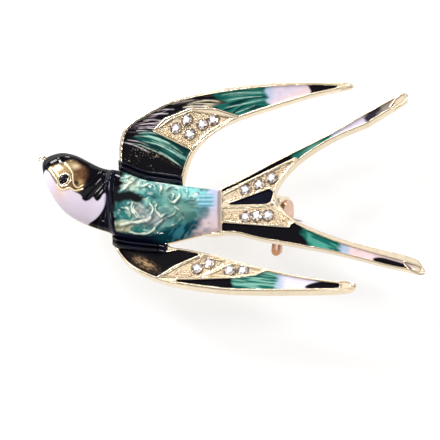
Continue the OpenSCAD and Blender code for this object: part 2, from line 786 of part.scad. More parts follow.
casting();
head_enamel();
throat_enamel();
body_enamel();
rump_enamel();
upper_cord_enamel();
lower_cord_enamel();
upper_wing_enamel();
lower_wing_root_enamel();
lower_wing_edge_enamel();
tail_upper_enamel();
tail_middle_enamel();
tail_lower_enamel();
eye_cabochon();
upper_wing_stone(1);  // upper_wing_stone_1
upper_wing_stone(2);  // upper_wing_stone_2
upper_wing_stone(3);  // upper_wing_stone_3
upper_wing_stone(4);  // upper_wing_stone_4
upper_wing_stone(5);  // upper_wing_stone_5
lower_wing_stone(1);  // lower_wing_stone_1
lower_wing_stone(2);  // lower_wing_stone_2
lower_wing_stone(3);  // lower_wing_stone_3
lower_wing_stone(4);  // lower_wing_stone_4
tail_stone(1);  // tail_stone_1
tail_stone(2);  // tail_stone_2
tail_stone(3);  // tail_stone_3
tail_stone(4);  // tail_stone_4
tail_stone(5);  // tail_stone_5
tail_stone(6);  // tail_stone_6
hinge_rivet();
pin_stem();
catch_rotor();
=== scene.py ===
import math

import bmesh
import bpy
import numpy as np
from mathutils import Matrix, Vector
from mathutils.geometry import delaunay_2d_cdt


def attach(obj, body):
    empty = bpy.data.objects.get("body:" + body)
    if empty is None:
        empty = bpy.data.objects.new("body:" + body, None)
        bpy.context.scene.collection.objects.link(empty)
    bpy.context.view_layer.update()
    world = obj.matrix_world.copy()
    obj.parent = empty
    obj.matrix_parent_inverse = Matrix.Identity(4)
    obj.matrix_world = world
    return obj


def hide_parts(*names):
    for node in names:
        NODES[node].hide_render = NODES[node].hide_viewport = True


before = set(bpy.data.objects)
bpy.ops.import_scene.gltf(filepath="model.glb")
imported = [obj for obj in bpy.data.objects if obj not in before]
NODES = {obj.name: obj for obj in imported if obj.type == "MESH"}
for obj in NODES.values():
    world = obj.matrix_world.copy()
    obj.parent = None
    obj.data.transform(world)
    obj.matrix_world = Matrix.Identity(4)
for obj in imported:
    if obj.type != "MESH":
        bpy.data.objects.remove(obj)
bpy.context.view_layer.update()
MM = 0.001

# Plan coordinates are millimetres from the middle of the body; the frame's origin lies at MIDDLE in them
MIDDLE = np.array([9.7025, 1.61185, 0.0])
BACK_Z, PLATE_T = 6.6, 1.6
TOP_Z = BACK_Z + PLATE_T
BODY_L, BODY_W = 16.5, 11.0
HEAD_L, HEAD_W, HEAD_H, BODY_H = 11.2, 12.0, 3.0, 2.8
RAISE = math.radians(7)
UPPER_BEND, LOWER_BEND = BODY_W * 0.36, BODY_W * 0.41
DOME_POWER = 0.62
# Enamel: its thickness on the dome, the gap at its sides, and its fit and level in a cell
SKIN, SIDE_GAP = 0.42, 0.05
CELL_OVERLAP, CELL_LOW, CELL_DEEP = 0.01, 0.05, 0.6
HOLLOW, MENISCUS, MELT = 0.1, 0.28, 0.03
CLEAR, GRID_W = 0.02, 13
# Mesh: spacing of points, of their rows, and of the voxels that wear the casting round
STEP = 0.08
ROW = 0.866
EDGE_CLEAR = 0.45
VOXEL = 0.1
KEPT_FACES = 0.29
TINY = 1e-9

# The photograph's view: direction to the camera, the image's right and up, its scale in pixels to the
# millimetre, and the pixel of plan point (0, 0, TOP_Z). Drawn lines are in these pixels.
VIEW_D = np.array([0.24321, -0.34202, 0.90767])
VIEW_UP = np.array([0.08852, 0.93969, 0.33037])
VIEW_R = np.array([0.96593, 0.0, -0.25882])
PX_MM = 6.58
PX_0 = np.array([165.0, 212.0])
IMAGE = 440


def to_px(p):
    """Plan points to pixels of the photograph."""
    q = np.asarray(p, float) - [0, 0, TOP_Z]
    return PX_0 + PX_MM * np.stack([q @ VIEW_R, -(q @ VIEW_UP)], -1)


def on_surface(px, height):
    """Pixels to plan points on a surface given by height(x, y)."""
    px = np.atleast_2d(np.asarray(px, float))
    a, b = (px[:, 0] - PX_0[0]) / PX_MM, -(px[:, 1] - PX_0[1]) / PX_MM
    z = np.full(len(px), TOP_Z)
    for _ in range(12):
        w = z - TOP_Z
        x = (a - VIEW_R[2] * w) / VIEW_R[0]
        y = (b - VIEW_UP[2] * w - VIEW_UP[0] * x) / VIEW_UP[1]
        z = height(x, y)
    return np.stack([x, y, z], -1)


# Small tools for numbers
def ease(a, b, x):
    """0 up to a, 1 from b on, smooth between."""
    t = np.clip((x - a) / (b - a), 0, 1)
    return t * t * (3 - 2 * t)


def blob(px, x, y, width, height, power=2):
    """Soft spot: 1 in its middle, fading over its half width and half height."""
    return np.exp(-((px[:, 0] - x) / width) ** power - ((px[:, 1] - y) / height) ** power)


def circle(count):
    a = np.linspace(0, 2 * np.pi, count, False)
    return np.stack([np.cos(a), np.sin(a)], -1)


def mix(a, b, t):
    """Colours or numbers blended by t; one colour spreads over all points."""
    t = np.asarray(t)[..., None]
    return a * (1 - t) + b * t


def srgb(r, g, b):
    c = np.array([r, g, b], float) / 255
    return np.where(c <= 0.04045, c / 12.92, ((c + 0.055) / 1.055) ** 2.4)


def lattice(i, j, seed):
    n = (i * 374761393 + j * 668265263 + seed * 144665) & 0x7FFFFFFF
    n = ((n ^ (n >> 13)) * 1274126177) & 0x7FFFFFFF
    return ((n ^ (n >> 16)) & 0xFFFF) / 65535.0


def noise(u, v, seed):
    """Smooth noise from 0 to 1 with a cell of one unit."""
    i, j = np.floor(u).astype(np.int64), np.floor(v).astype(np.int64)
    fu, fv = u - i, v - j
    fu, fv = fu * fu * (3 - 2 * fu), fv * fv * (3 - 2 * fv)
    low = lattice(i, j, seed) * (1 - fu) + lattice(i + 1, j, seed) * fu
    high = lattice(i, j + 1, seed) * (1 - fu) + lattice(i + 1, j + 1, seed) * fu
    return low * (1 - fv) + high * fv


def warp(px, amount, size, seed):
    """Points shifted by smooth noise."""
    u, v = px[:, 0] / size, px[:, 1] / size
    return px + 2 * amount * (np.stack([noise(u, v, seed), noise(u, v, seed + 1)], -1) - 0.5)


def smooth_line(points, steps=8, closed=False):
    """Curve through given points."""
    p = np.asarray(points, float)
    n = len(p)
    out = []
    for i in range(n if closed else n - 1):
        at = (lambda k: p[k % n]) if closed else (lambda k: p[min(max(k, 0), n - 1)])
        a, b, c, d = at(i - 1), at(i), at(i + 1), at(i + 2)
        for j in range(steps):
            t = j / steps
            out.append(0.5 * (2 * b + (c - a) * t + (2 * a - 5 * b + 4 * c - d) * t * t
                              + (3 * b - a - 3 * c + d) * t * t * t))
    if not closed:
        out.append(p[-1])
    return np.array(out)


def line_distance(points, line, closed=False):
    """Distance of each point to a polyline, and the place along it from 0 to 1."""
    line = np.asarray(line, float)
    a = line if closed else line[:-1]
    b = np.roll(line, -1, 0) if closed else line[1:]
    best = np.full(len(points), 1e9)
    along = np.zeros(len(points))
    for k in range(len(a)):
        d = b[k] - a[k]
        t = np.clip(((points - a[k]) @ d) / max(d @ d, 1e-12), 0, 1)
        dist = np.hypot(*(points - a[k] - t[:, None] * d).T)
        near = dist < best
        best = np.where(near, dist, best)
        along = np.where(near, (k + t) / len(a), along)
    return best, along


def inside(points, ring):
    ring = np.asarray(ring, float)
    a, b = ring, np.roll(ring, -1, 0)
    odd = np.zeros(len(points), bool)
    for p, q in zip(a, b):
        if p[1] == q[1]:
            continue
        cross = (points[:, 1] < p[1]) != (points[:, 1] < q[1])
        x = (q[0] - p[0]) * (points[:, 1] - p[1]) / (q[1] - p[1]) + p[0]
        odd ^= cross & (points[:, 0] < x)
    return odd


def area_mask(points, ring, soft):
    """1 inside a given ring, 0 outside, with a soft edge."""
    ring = smooth_line(ring, 4, True)
    d, _ = line_distance(points, ring, True)
    return ease(-soft, soft, np.where(inside(points, ring), d, -d))


def resample(ring, step):
    ring = np.asarray(ring, float)
    out = []
    for a, b in zip(ring, np.roll(ring, -1, 0)):
        n = max(1, int(round(np.linalg.norm(b - a) / step)))
        out += [a + (b - a) * k / n for k in range(n)]
    return np.array(out)


def signed_area(ring):
    x, y = ring.T
    return np.sum(x * np.roll(y, -1) - np.roll(x, -1) * y) / 2


def unit(v, least=TINY):
    return v / np.maximum(np.linalg.norm(v, axis=1), least)[:, None]


def rings_distance(points, rings):
    return np.min([line_distance(points, r, True)[0] for r in rings], 0)


def grow(ring, by):
    """Ring turned anticlockwise and moved outward by a small distance."""
    ring = np.asarray(ring, float)
    if signed_area(ring) < 0:
        ring = ring[::-1]
    d = np.roll(ring, -1, 0) - ring
    n = unit(np.stack([d[:, 1], -d[:, 0]], -1))
    m = unit(n + np.roll(n, 1, 0), 1e-6)
    c = np.maximum((m * n).sum(1), 0.5)
    return ring + m * (by / c)[:, None]


# Head and body: columns as in the part: place, low edge, high edge, crown
HEAD = [(1.00, 0.70, 0.84, 0.10), (0.95, 0.52, 0.88, 0.42), (0.84, 0.31, 0.915, 0.72),
        (0.69, 0.125, 0.925, 0.92),
        (0.51, -0.01, 0.87, 1.00), (0.335, -0.10, 0.77, 0.93), (0.17, -0.17, 0.68, 0.80),
        (0.03, -0.225, 0.635, 0.78)]
BODY = [(0.075, -0.35, 0.66, 0.95), (0.32, -0.44, 0.49, 1.00), (0.50, -0.475, 0.42, 0.92),
        (0.68, -0.44, 0.355, 0.72),
        (0.865, -0.395, 0.295, 0.42), (1.02, -0.36, 0.25, 0.18)]
torso = smooth_line(
    [(-BODY_L / 2 - a * HEAD_L, b * HEAD_W, c * HEAD_W, d * HEAD_H) for a, b, c, d in HEAD]
    + [(-BODY_L / 2 + a * BODY_L, b * BODY_W, c * BODY_W, d * BODY_H) for a, b, c, d in BODY], 12)


def torso_at(x):
    return [np.interp(x, torso[:, 0], torso[:, k]) for k in (1, 2, 3)]


def torso_height(x, y):
    low, high, crown = torso_at(x)
    v = np.clip((2 * y - low - high) / (high - low), -1, 1)
    return TOP_Z + crown * np.maximum(1 - v * v, 0) ** DOME_POWER


def upper_height(x, y):
    return BACK_Z + np.tan(RAISE) * (y - UPPER_BEND) + PLATE_T / math.cos(RAISE)


def lower_height(x, y):
    return BACK_Z - np.tan(RAISE) * (y + LOWER_BEND) + PLATE_T / math.cos(RAISE)


def tail_height(x, y):
    return np.full(np.shape(x), TOP_Z)


# Limb planes: local points are x, y in the limb's own plane and w above its back
def limb_plane(limb):
    side, bend = (1, UPPER_BEND) if limb == "upper" else (-1, LOWER_BEND)
    return side, bend, math.cos(RAISE), math.sin(RAISE)


def place_limb(local, limb):
    x, y, w = local.T
    if limb == "tail":
        return np.stack([x, y, BACK_Z + w], -1)
    side, bend, c, s = limb_plane(limb)
    t = side * y - bend
    return np.stack([x, side * (bend + t * c - w * s), BACK_Z + t * s + w * c], -1)


def limb_local(p, limb):
    if limb == "tail":
        return p - [0, 0, BACK_Z]
    side, bend, c, s = limb_plane(limb)
    t, h = side * p[:, 1] - bend, p[:, 2] - BACK_Z
    return np.stack([p[:, 0], side * (bend + t * c + h * s), -t * s + h * c], -1)


def cad_points(node):
    mesh = NODES[node].data
    co = np.zeros(len(mesh.vertices) * 3)
    mesh.vertices.foreach_get("co", co)
    return co.reshape(-1, 3) / MM + MIDDLE


def inside_all(points, rings):
    """Inside an odd number of rings."""
    odd = np.zeros(len(points), bool)
    for r in rings:
        odd ^= inside(points, r)
    return odd


LEVEL, LEAST_RING = 0.01, 0.05


def cell_rings(node, limb):
    """Outlines of the top face of an enamel node, in its limb's plane."""
    mesh = NODES[node].data
    local = limb_local(cad_points(node), limb)
    top = local[:, 2].max()
    key, at, number = {}, [], []
    for p in local:
        k = (round(p[0], 3), round(p[1], 3), round(p[2], 3))
        if k not in key:
            key[k] = len(at)
            at.append(p)
        number.append(key[k])
    tops, walls = set(), set()
    for f in mesh.polygons:
        vs = [number[v] for v in f.vertices]
        side = tops if all(abs(at[v][2] - top) < LEVEL for v in vs) else walls
        side.update(zip(vs, vs[1:] + vs[:1]))
    follow = {}
    for a, b in sorted(tops):
        if (b, a) in walls:
            follow.setdefault(a, []).append(b)
    rings, path = [], []
    while any(follow.values()):
        if not path or not follow.get(path[-1]):
            path = [next(v for v in follow if follow[v])]
        b = follow[path[-1]].pop()
        if b in path:
            # Where the outline touches itself, the loop made so far is a ring of its own
            k = path.index(b)
            rings.append(np.array([at[v][:2] for v in path[k:]]))
            del path[k + 1:]
        else:
            path.append(b)
    return [r for r in rings if abs(signed_area(r)) > LEAST_RING]


# Making meshes
def link_object(name, data):
    ob = bpy.data.objects.new(name, data)
    bpy.context.scene.collection.objects.link(ob)
    return ob


def new_object(name, points, faces, smooth=True):
    mesh = bpy.data.meshes.new(name)
    mesh.from_pydata(((np.asarray(points) - MIDDLE) * MM).tolist(), [], [list(map(int, f)) for f in faces])
    mesh.update()
    if smooth:
        mesh.polygons.foreach_set("use_smooth", [True] * len(mesh.polygons))
    ob = link_object(name, mesh)
    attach(ob, "brooch")
    return ob


def paint(ob, name, values):
    values = np.asarray(values, float)
    if values.ndim == 1:
        values = np.repeat(values[:, None], 3, 1)
    col = np.ones((len(values), 4))
    col[:, :3] = values
    layer = ob.data.color_attributes.new(name, "FLOAT_COLOR", "POINT")
    layer.data.foreach_set("color", col.ravel())


def fill_rings(rings, grid=None):
    """Triangles over the plan inside the rings."""
    rings = [resample(r, STEP) for r in rings]
    low, high = np.vstack(rings).min(0), np.vstack(rings).max(0)
    if grid is None:
        nx, ny = int((high[0] - low[0]) / STEP) + 2, int((high[1] - low[1]) / (STEP * ROW)) + 2
        gx, gy = np.meshgrid(np.arange(nx), np.arange(ny))
        grid = np.stack([low[0] + (gx + 0.5 * (gy % 2)) * STEP, low[1] + gy * STEP * ROW], -1).reshape(-1, 2)
    grid = grid[inside_all(grid, rings)]
    for r in rings:
        grid = grid[line_distance(grid, r, True)[0] > STEP * EDGE_CLEAR]
    points, edges = [], []
    for r in rings:
        n = len(points)
        edges += [(n + k, n + (k + 1) % len(r)) for k in range(len(r))]
        points += r.tolist()
    points += grid.tolist()
    co, _, faces, _, _, _ = delaunay_2d_cdt([Vector(p) for p in points], edges, [], 0, 1e-6)
    co = np.array([(v[0], v[1]) for v in co])
    faces = np.array(faces)
    faces = faces[inside_all(co[faces].mean(1), rings)]
    a, b, c = co[faces[:, 0]], co[faces[:, 1]], co[faces[:, 2]]
    turn = (b[:, 0] - a[:, 0]) * (c[:, 1] - a[:, 1]) - (b[:, 1] - a[:, 1]) * (c[:, 0] - a[:, 0])
    faces[turn < 0] = faces[turn < 0][:, ::-1]
    return co, faces, rings


def close_below(top, bottom, faces):
    """Closed solid from a sheet's top and bottom points."""
    n = len(top)
    seen = {}
    for f in faces:
        for a, b in zip(f, np.roll(f, -1)):
            seen[(int(a), int(b))] = True
    walls = []
    for a, b in seen:
        if (b, a) not in seen:
            walls.append((a, a + n, b + n, b))
    points = np.vstack([top, bottom])
    return points, [tuple(f) for f in faces] + [tuple(f[::-1] + n) for f in faces] + walls


def flat_after(ob, count):
    """Faces past the given count are shaded flat, so that they don't bend the shading of the top."""
    ob.data.polygons.foreach_set("use_smooth", [k < count for k in range(len(ob.data.polygons))])


# Materials
def material(name):
    mat = bpy.data.materials.new(name)
    mat.use_nodes = True
    nodes, links = mat.node_tree.nodes, mat.node_tree.links
    return mat, nodes, links, nodes["Principled BSDF"]


def set_inputs(node, values):
    for name, value in values.items():
        node.inputs[name].default_value = value


def object_noise(nodes, links, scale, detail):
    where = nodes.new("ShaderNodeTexCoord")
    tex = nodes.new("ShaderNodeTexNoise")
    set_inputs(tex, {"Scale": scale, "Detail": detail})
    links.new(where.outputs["Object"], tex.inputs["Vector"])
    return tex.outputs["Fac"]


def add_bump(nodes, links, shader, height, strength, distance):
    bump = nodes.new("ShaderNodeBump")
    set_inputs(bump, {"Strength": strength, "Distance": distance})
    links.new(height, bump.inputs["Height"])
    links.new(bump.outputs["Normal"], shader.inputs["Normal"])


def value_range(nodes, links, source, low, high):
    rng = nodes.new("ShaderNodeMapRange")
    set_inputs(rng, {"To Min": low, "To Max": high})
    links.new(source, rng.inputs["Value"])
    return rng.outputs["Result"]


def vertex_colour(nodes, layer):
    col = nodes.new("ShaderNodeVertexColor")
    col.layer_name = layer
    return col.outputs["Color"]


def mottled(nodes, links, shader, source, layer, low, high):
    """Base colour from a painted layer, made darker and lighter by noise."""
    shade = nodes.new("ShaderNodeHueSaturation")
    links.new(value_range(nodes, links, source, low, high), shade.inputs["Value"])
    links.new(vertex_colour(nodes, layer), shade.inputs["Color"])
    links.new(shade.outputs["Color"], shader.inputs["Base Color"])


def two_tones(nodes, links, shader, source, dark, light, places=(0, 1)):
    """Base colour from one tone to another by noise."""
    ramp = nodes.new("ShaderNodeValToRGB")
    for element, tone, place in zip(ramp.color_ramp.elements, (dark, light), places):
        element.position = place
        element.color = (*tone, 1)
    links.new(source, ramp.inputs["Fac"])
    links.new(ramp.outputs["Color"], shader.inputs["Base Color"])


# Scales of the noises, in waves to the metre, and depths of the bumps in metres
CLOUDS, WAVES, WAVE_DEEP = 900, 450, 0.00004
PLATE, SCRATCHES, SCRATCH_DEEP = 1100, 2500, 0.00001
SATIN, EDGE_COAT = 0.32, 0.2


def enamel(name, rough=0.14, coat=0.3, mottle=0.18, gilded=False, coat_ior=1.3):
    """Painted enamel under a clear coat that fades at grazing angles; gilded parts are satin metal."""
    mat, nodes, links, shader = material(name)
    set_inputs(shader, {"Specular IOR Level": 0.01, "Coat Roughness": 0.04, "Coat IOR": coat_ior})
    clouds = object_noise(nodes, links, CLOUDS, 3)
    mottled(nodes, links, shader, clouds, "paint", 1 - mottle, 1 + mottle)
    soft = value_range(nodes, links, clouds, rough * 0.7, rough * 1.5)
    if gilded:
        gold = vertex_colour(nodes, "gild")
        links.new(gold, shader.inputs["Metallic"])
        satin = nodes.new("ShaderNodeMath")
        satin.operation = "MULTIPLY_ADD"
        links.new(gold, satin.inputs[0])
        satin.inputs[1].default_value = SATIN
        links.new(soft, satin.inputs[2])
        soft = satin.outputs["Value"]
    links.new(soft, shader.inputs["Roughness"])
    facing = nodes.new("ShaderNodeLayerWeight").outputs["Facing"]
    links.new(value_range(nodes, links, facing, coat, EDGE_COAT * coat), shader.inputs["Coat Weight"])
    add_bump(nodes, links, shader, object_noise(nodes, links, WAVES, 1), 0.25, WAVE_DEEP)
    return mat


def metal(name, light, dark, rough):
    mat, nodes, links, shader = material(name)
    plate = object_noise(nodes, links, PLATE, 3)
    two_tones(nodes, links, shader, plate, dark, light, (0.2, 0.75))
    set_inputs(shader, {"Metallic": 1.0})
    links.new(value_range(nodes, links, plate, rough * 0.6, rough * 1.6), shader.inputs["Roughness"])
    add_bump(nodes, links, shader, object_noise(nodes, links, SCRATCHES, 3), 0.12, SCRATCH_DEEP)
    return mat


GOLD = metal("gold_plate", (0.90, 0.77, 0.57), (0.80, 0.66, 0.47), 0.2)
GRAIN = metal("gold_grain", (0.92, 0.78, 0.56), (0.62, 0.46, 0.30), 0.25)
# Dark metal of the seats round the stones: painted shade
SEAT_SHADE = metal("seat_painted_shade", (0.34, 0.25, 0.18), (0.12, 0.08, 0.06), 0.35)
ROSE = metal("rose_gold_plate", (0.80, 0.52, 0.38), (0.62, 0.36, 0.24), 0.2)
STEEL = metal("pin_steel", (0.70, 0.70, 0.70), (0.52, 0.52, 0.53), 0.22)

BLACK = srgb(9, 7, 13)
NAVY = srgb(13, 15, 36)
GREEN = srgb(22, 98, 88)
GREEN_DARK = srgb(2, 48, 48)
GREEN_LIGHT = srgb(140, 196, 178)
LILAC = srgb(214, 203, 220)
PINK = srgb(232, 206, 208)
SKY = srgb(174, 190, 214)


def zones(v, bounds, colours):
    """Colours along a value, each blended into the next over the width given with its bound."""
    out = colours[0]
    for (at, soft), colour in zip(bounds, colours[1:]):
        out = mix(out, colour, ease(at - soft, at + soft, v))
    return out


def guide_value(px, guides):
    """Place of each point across a family of given lines, counted in lines."""
    ys = np.array([np.interp(px[:, 0], *smooth_line(g, 6).T) for g in guides])
    out = np.zeros(len(px))
    for k in range(len(guides) - 1):
        low, high = ys[k], ys[k + 1]
        t = (px[:, 1] - low) / np.maximum(high - low, 1e-3)
        out = np.where((t >= 0) & (t <= 1), k + t, out)
    out = np.where(px[:, 1] < ys[0], (px[:, 1] - ys[0]) / 12, out)
    return np.where(px[:, 1] > ys[-1], len(guides) - 1 + (px[:, 1] - ys[-1]) / 12, out)


def limb_enamel(node, limb, look, mat):
    """Enamel that fills one cell: look(px, plane points) gives its colour and its relief."""
    rings = [grow(r, CELL_OVERLAP) for r in cell_rings(node, limb)]
    co, faces, rings = fill_rings(rings)
    edge = rings_distance(co, rings)
    local = np.column_stack([co, np.full(len(co), PLATE_T - CELL_LOW)])
    px = to_px(place_limb(local, limb))
    colour, height = look(px, co)
    local[:, 2] += (height - HOLLOW) * ease(0, MENISCUS, edge) - MELT
    bottom = np.column_stack([co, np.full(len(co), PLATE_T - CELL_DEEP)])
    points, all_faces = close_below(place_limb(local, limb), place_limb(bottom, limb), faces)
    ob = new_object(node + "_fired", points, all_faces)
    flat_after(ob, len(faces))
    paint(ob, "paint", np.vstack([colour, colour]))
    ob.data.materials.append(mat)
    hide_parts(node)


def drawn(px, colour, strokes, tint, strength):
    """Strokes drawn over a colour: each is its points and its width in pixels."""
    for points, width in strokes:
        d, a = line_distance(px, smooth_line(points, 5))
        w = np.exp(-(d / (0.85 * width)) ** 2) * np.sin(np.pi * np.clip(a, 0, 1)) ** 0.5
        w *= 0.45 + 0.55 * ease(0.2, 0.6, noise(px[:, 0] / 5, px[:, 1] / 1.2, 17))
        colour = mix(colour, tint, strength * w)
    return colour


# Upper wing: lines that its barbs follow, in pixels of the photograph
UPPER_BARBS = [
    [(112, 120), (140, 105), (165, 93), (200, 85), (240, 80), (300, 76), (356, 78)],
    [(112, 128), (140, 121), (162, 114), (186, 104), (212, 101), (240, 98), (270, 95), (356, 88)],
    [(112, 130), (139, 130), (165, 138), (190, 148), (215, 150), (240, 112), (270, 104), (356, 95)],
    [(112, 138), (139, 142), (165, 154), (190, 172), (215, 184), (240, 184), (270, 172), (356, 152)],
    [(112, 150), (139, 157), (165, 169), (190, 188), (215, 204), (240, 204), (270, 192), (356, 172)]]


# Lilac, cream and mint strokes on the upper wing: painted highlights along the barbs
LILAC_HIGHLIGHTS = [
    ([(137, 127.4), (147, 127), (156, 128)], 0.6), ([(142, 119.8), (152, 118.8), (163, 120.6)], 0.8),
    ([(147, 114.4), (158, 112.8), (168, 112.8)], 0.6), ([(153, 110.6), (163, 108.6), (174, 108.4)], 0.6),
    ([(139, 123.6), (149, 122.6), (160, 124.2)], 0.5), ([(135, 130), (144, 129.8), (151, 131)], 0.6),
    ([(171, 103.4), (182, 100.4), (194, 98.6)], 0.6), ([(162, 104.6), (172, 102), (184, 98.6)], 0.45),
    ([(122, 141.4), (134, 144.6), (149, 152)], 0.6), ([(126, 139), (138, 141), (150, 146)], 0.4)]
CREAM_HIGHLIGHTS = [
    ([(182, 106.8), (192, 105.2), (202, 105.4), (214, 107.4)], 0.9),
    ([(192, 101.6), (202, 100), (211, 99.8), (220, 101)], 0.75),
    ([(186, 103.6), (200, 102.6), (214, 103.4)], 0.4), ([(188, 109.6), (197, 108.4), (207, 109.4)], 0.7)]
MINT_HIGHLIGHTS = [
    ([(133, 135.4), (143, 135.4), (153, 136.8), (164, 141), (173, 146), (183, 153.4)], 0.7),
    ([(137, 132.6), (147, 131.8), (158, 133.6), (170, 138.4), (184, 145.4)], 0.6),
    ([(141, 140), (150, 142), (160, 145), (171, 151), (182, 158.6)], 0.7),
    ([(150, 139.4), (162, 144), (174, 150), (186, 158)], 0.4),
    ([(158, 150.8), (168, 156.4), (180, 165.6)], 0.5),
    ([(146, 134.2), (158, 137.6), (170, 143)], 0.4), ([(140, 145.5), (152, 149.4), (166, 156.4),
                                                       (180.5, 165.6)], 0.45),
    ([(160, 145.5), (171, 150.4), (183, 157.4)], 0.4), ([(131, 142.6), (142, 145), (156, 151.4)], 0.4),
    ([(148, 131.2), (160, 134.6), (172, 140), (184, 147)], 0.45),
    ([(221, 94.6), (231, 92.8), (241, 92), (252, 92), (262, 92.6)], 0.6),
    ([(227, 99.8), (238, 97.8), (250, 96.6), (262, 96)], 0.5),
    ([(224, 107.6), (236, 105), (248, 102.6), (261, 99.6)], 0.55),
    ([(235, 112.6), (245, 109), (255, 105)], 0.45),
    ([(217, 92), (228, 89), (240, 87.6), (256, 87.2)], 0.4)]
# Dark strokes: painted shade in the grooves between the highlighted barbs
GROOVE_SHADE_STROKES = [
    ([(150, 133.4), (164, 137), (178, 144.6), (188, 151)], 0.7),
    ([(146, 138.6), (158, 141), (170, 146.6), (184, 156)], 0.5),
    ([(228, 95.8), (240, 94.4), (254, 94)], 0.4), ([(226, 103.6), (238, 101), (252, 98.6)], 0.5),
    ([(236, 108.6), (248, 105.4), (260, 102)], 0.4)]


def streaks(s, along, density, seed):
    """Fine barbs across s, broken along their length."""
    a = noise(s * density, along / 26, seed)
    b = noise(s * density * 2.3 + 7, along / 14, seed + 1)
    return np.clip(0.6 * a + 0.4 * b, 0, 1)


def upper_look(px, co):
    s = guide_value(px, UPPER_BARBS)
    x, y = px.T
    s = s + 0.05 * (noise(x / 22, y / 6, 2) - 0.5)
    barb = streaks(s, x, 6.5, 3)
    rib = 0.5 + 0.5 * np.cos(2 * np.pi * s * 4.6)
    colour = mix(BLACK, srgb(78, 66, 78),
                 0.75 * ease(0.6, 0.85, barb) * ease(118, 140, x) * (1 - ease(2.0, 2.4, s)))
    # The rib crests are painted lighter: a painted highlight on the ribs
    crest = ease(0.72, 0.95, rib) * ease(0.35, 0.65, noise(x / 18, s * 4.6, 5))
    colour = mix(colour, srgb(132, 116, 130), 0.75 * crest * ease(118, 136, x) * (s < 2.2))
    # Pale patches along the barbs in the black: painted highlights on the ribs
    lines = blob(px, 201, 102.5, 13, 5) * ease(0.42, 0.62, barb)
    colour = mix(colour, srgb(232, 218, 186), 0.95 * lines)
    lines = blob(px, 151, 122, 14, 9) * np.maximum(ease(0.5, 0.68, barb), crest)
    colour = mix(colour, srgb(206, 186, 196), 0.85 * lines)
    # Painted highlights along the barbs in the black, lilac and cream
    colour = drawn(px, colour, LILAC_HIGHLIGHTS, srgb(232, 222, 228), 1.0)
    colour = drawn(px, colour, CREAM_HIGHLIGHTS, srgb(246, 234, 204), 1.0)
    green = mix(GREEN_DARK, GREEN, ease(0.3, 0.5, barb))
    pale = ease(0.56, 0.74, barb) * (0.45 + 0.55 * np.exp(-((x - 156) / 15) ** 2))
    green = mix(green, GREEN_LIGHT, np.where(x > 205, 0.62, 0.95) * pale)
    # Green fan under the stones and green band behind them, each with a feathered start
    start = 137 + 10 * (noise(s * 5, x * 0, 9) - 0.5)
    fan = ease(start - 4, start + 8, x) * ease(128.5, 131, y) * (x < 212)
    fan *= 1 - ease(2.6, 3.25, s + 0.7 * (barb - 0.5))
    flame = 14 * np.exp(-((y - 101.5) / 3.2) ** 2) + 5 * np.exp(-((y - 107.5) / 1.2) ** 2)
    band_start = 211.5 + flame + 5 * (noise(y / 1.6, x * 0, 11) - 0.5)
    band = ease(band_start - 2, band_start + 2, x)
    colour = mix(colour, green, np.maximum(fan, band))
    # Painted highlights along the barbs in the green, mint
    colour = drawn(px, colour, MINT_HIGHLIGHTS, srgb(190, 226, 208), 0.95)
    # Painted shade between the barbs
    colour = drawn(px, colour, GROOVE_SHADE_STROKES, srgb(0, 26, 28), 0.85)
    pale = mix(SKY, LILAC, ease(266, 277, x))
    pale = mix(pale, PINK, ease(276, 300, x + 2 * (y - 94)) * 0.8)
    edge_x = 267 + 6 * (noise(s * 4, x * 0, 13) - 0.5) + 0.25 * (y - 95)
    colour = mix(colour, pale, ease(edge_x - 2.5, edge_x + 2.5, x))
    tip_x = 309 + 5 * (noise(s * 5, x * 0, 15) - 0.5) + 0.5 * (y - 90)
    colour = mix(colour, BLACK, ease(tip_x - 1.5, tip_x + 1.5, x))
    # Gilt flecks and dust in the black of the root
    root = (y > 140) * (x < 185) * (1 - fan)
    glint = ease(0.84, 0.93, noise(co[:, 0] / 0.14, co[:, 1] / 0.14, 21)) * root
    glint *= ease(0.3, 0.6, noise(co[:, 0] / 1.2, co[:, 1] / 1.2, 22))
    dusty = np.exp(-((x - 161) / 13) ** 2 - ((y - 154 - 0.45 * (x - 161)) / 3.4) ** 2)
    dust = ease(0.55, 0.85, noise(x / 1.1, y / 0.9, 23)) * dusty
    colour = mix(colour, srgb(120, 116, 84), 0.75 * dust * root)
    colour = mix(colour, srgb(176, 170, 142), 0.9 * glint)
    deep = 1 - ease(262, 272, x)
    height = 0.045 * (rib - 0.5) * deep * (0.2 + 0.8 * (1 - ease(2.9, 3.3, s)))
    return colour, height


LOWER_BARBS = [
    [(100, 236), (160, 240), (220, 252), (280, 266), (360, 276)],
    [(100, 258), (160, 268), (220, 270), (280, 277), (360, 284)],
    [(100, 285), (160, 290), (220, 290), (280, 292), (360, 292)]]


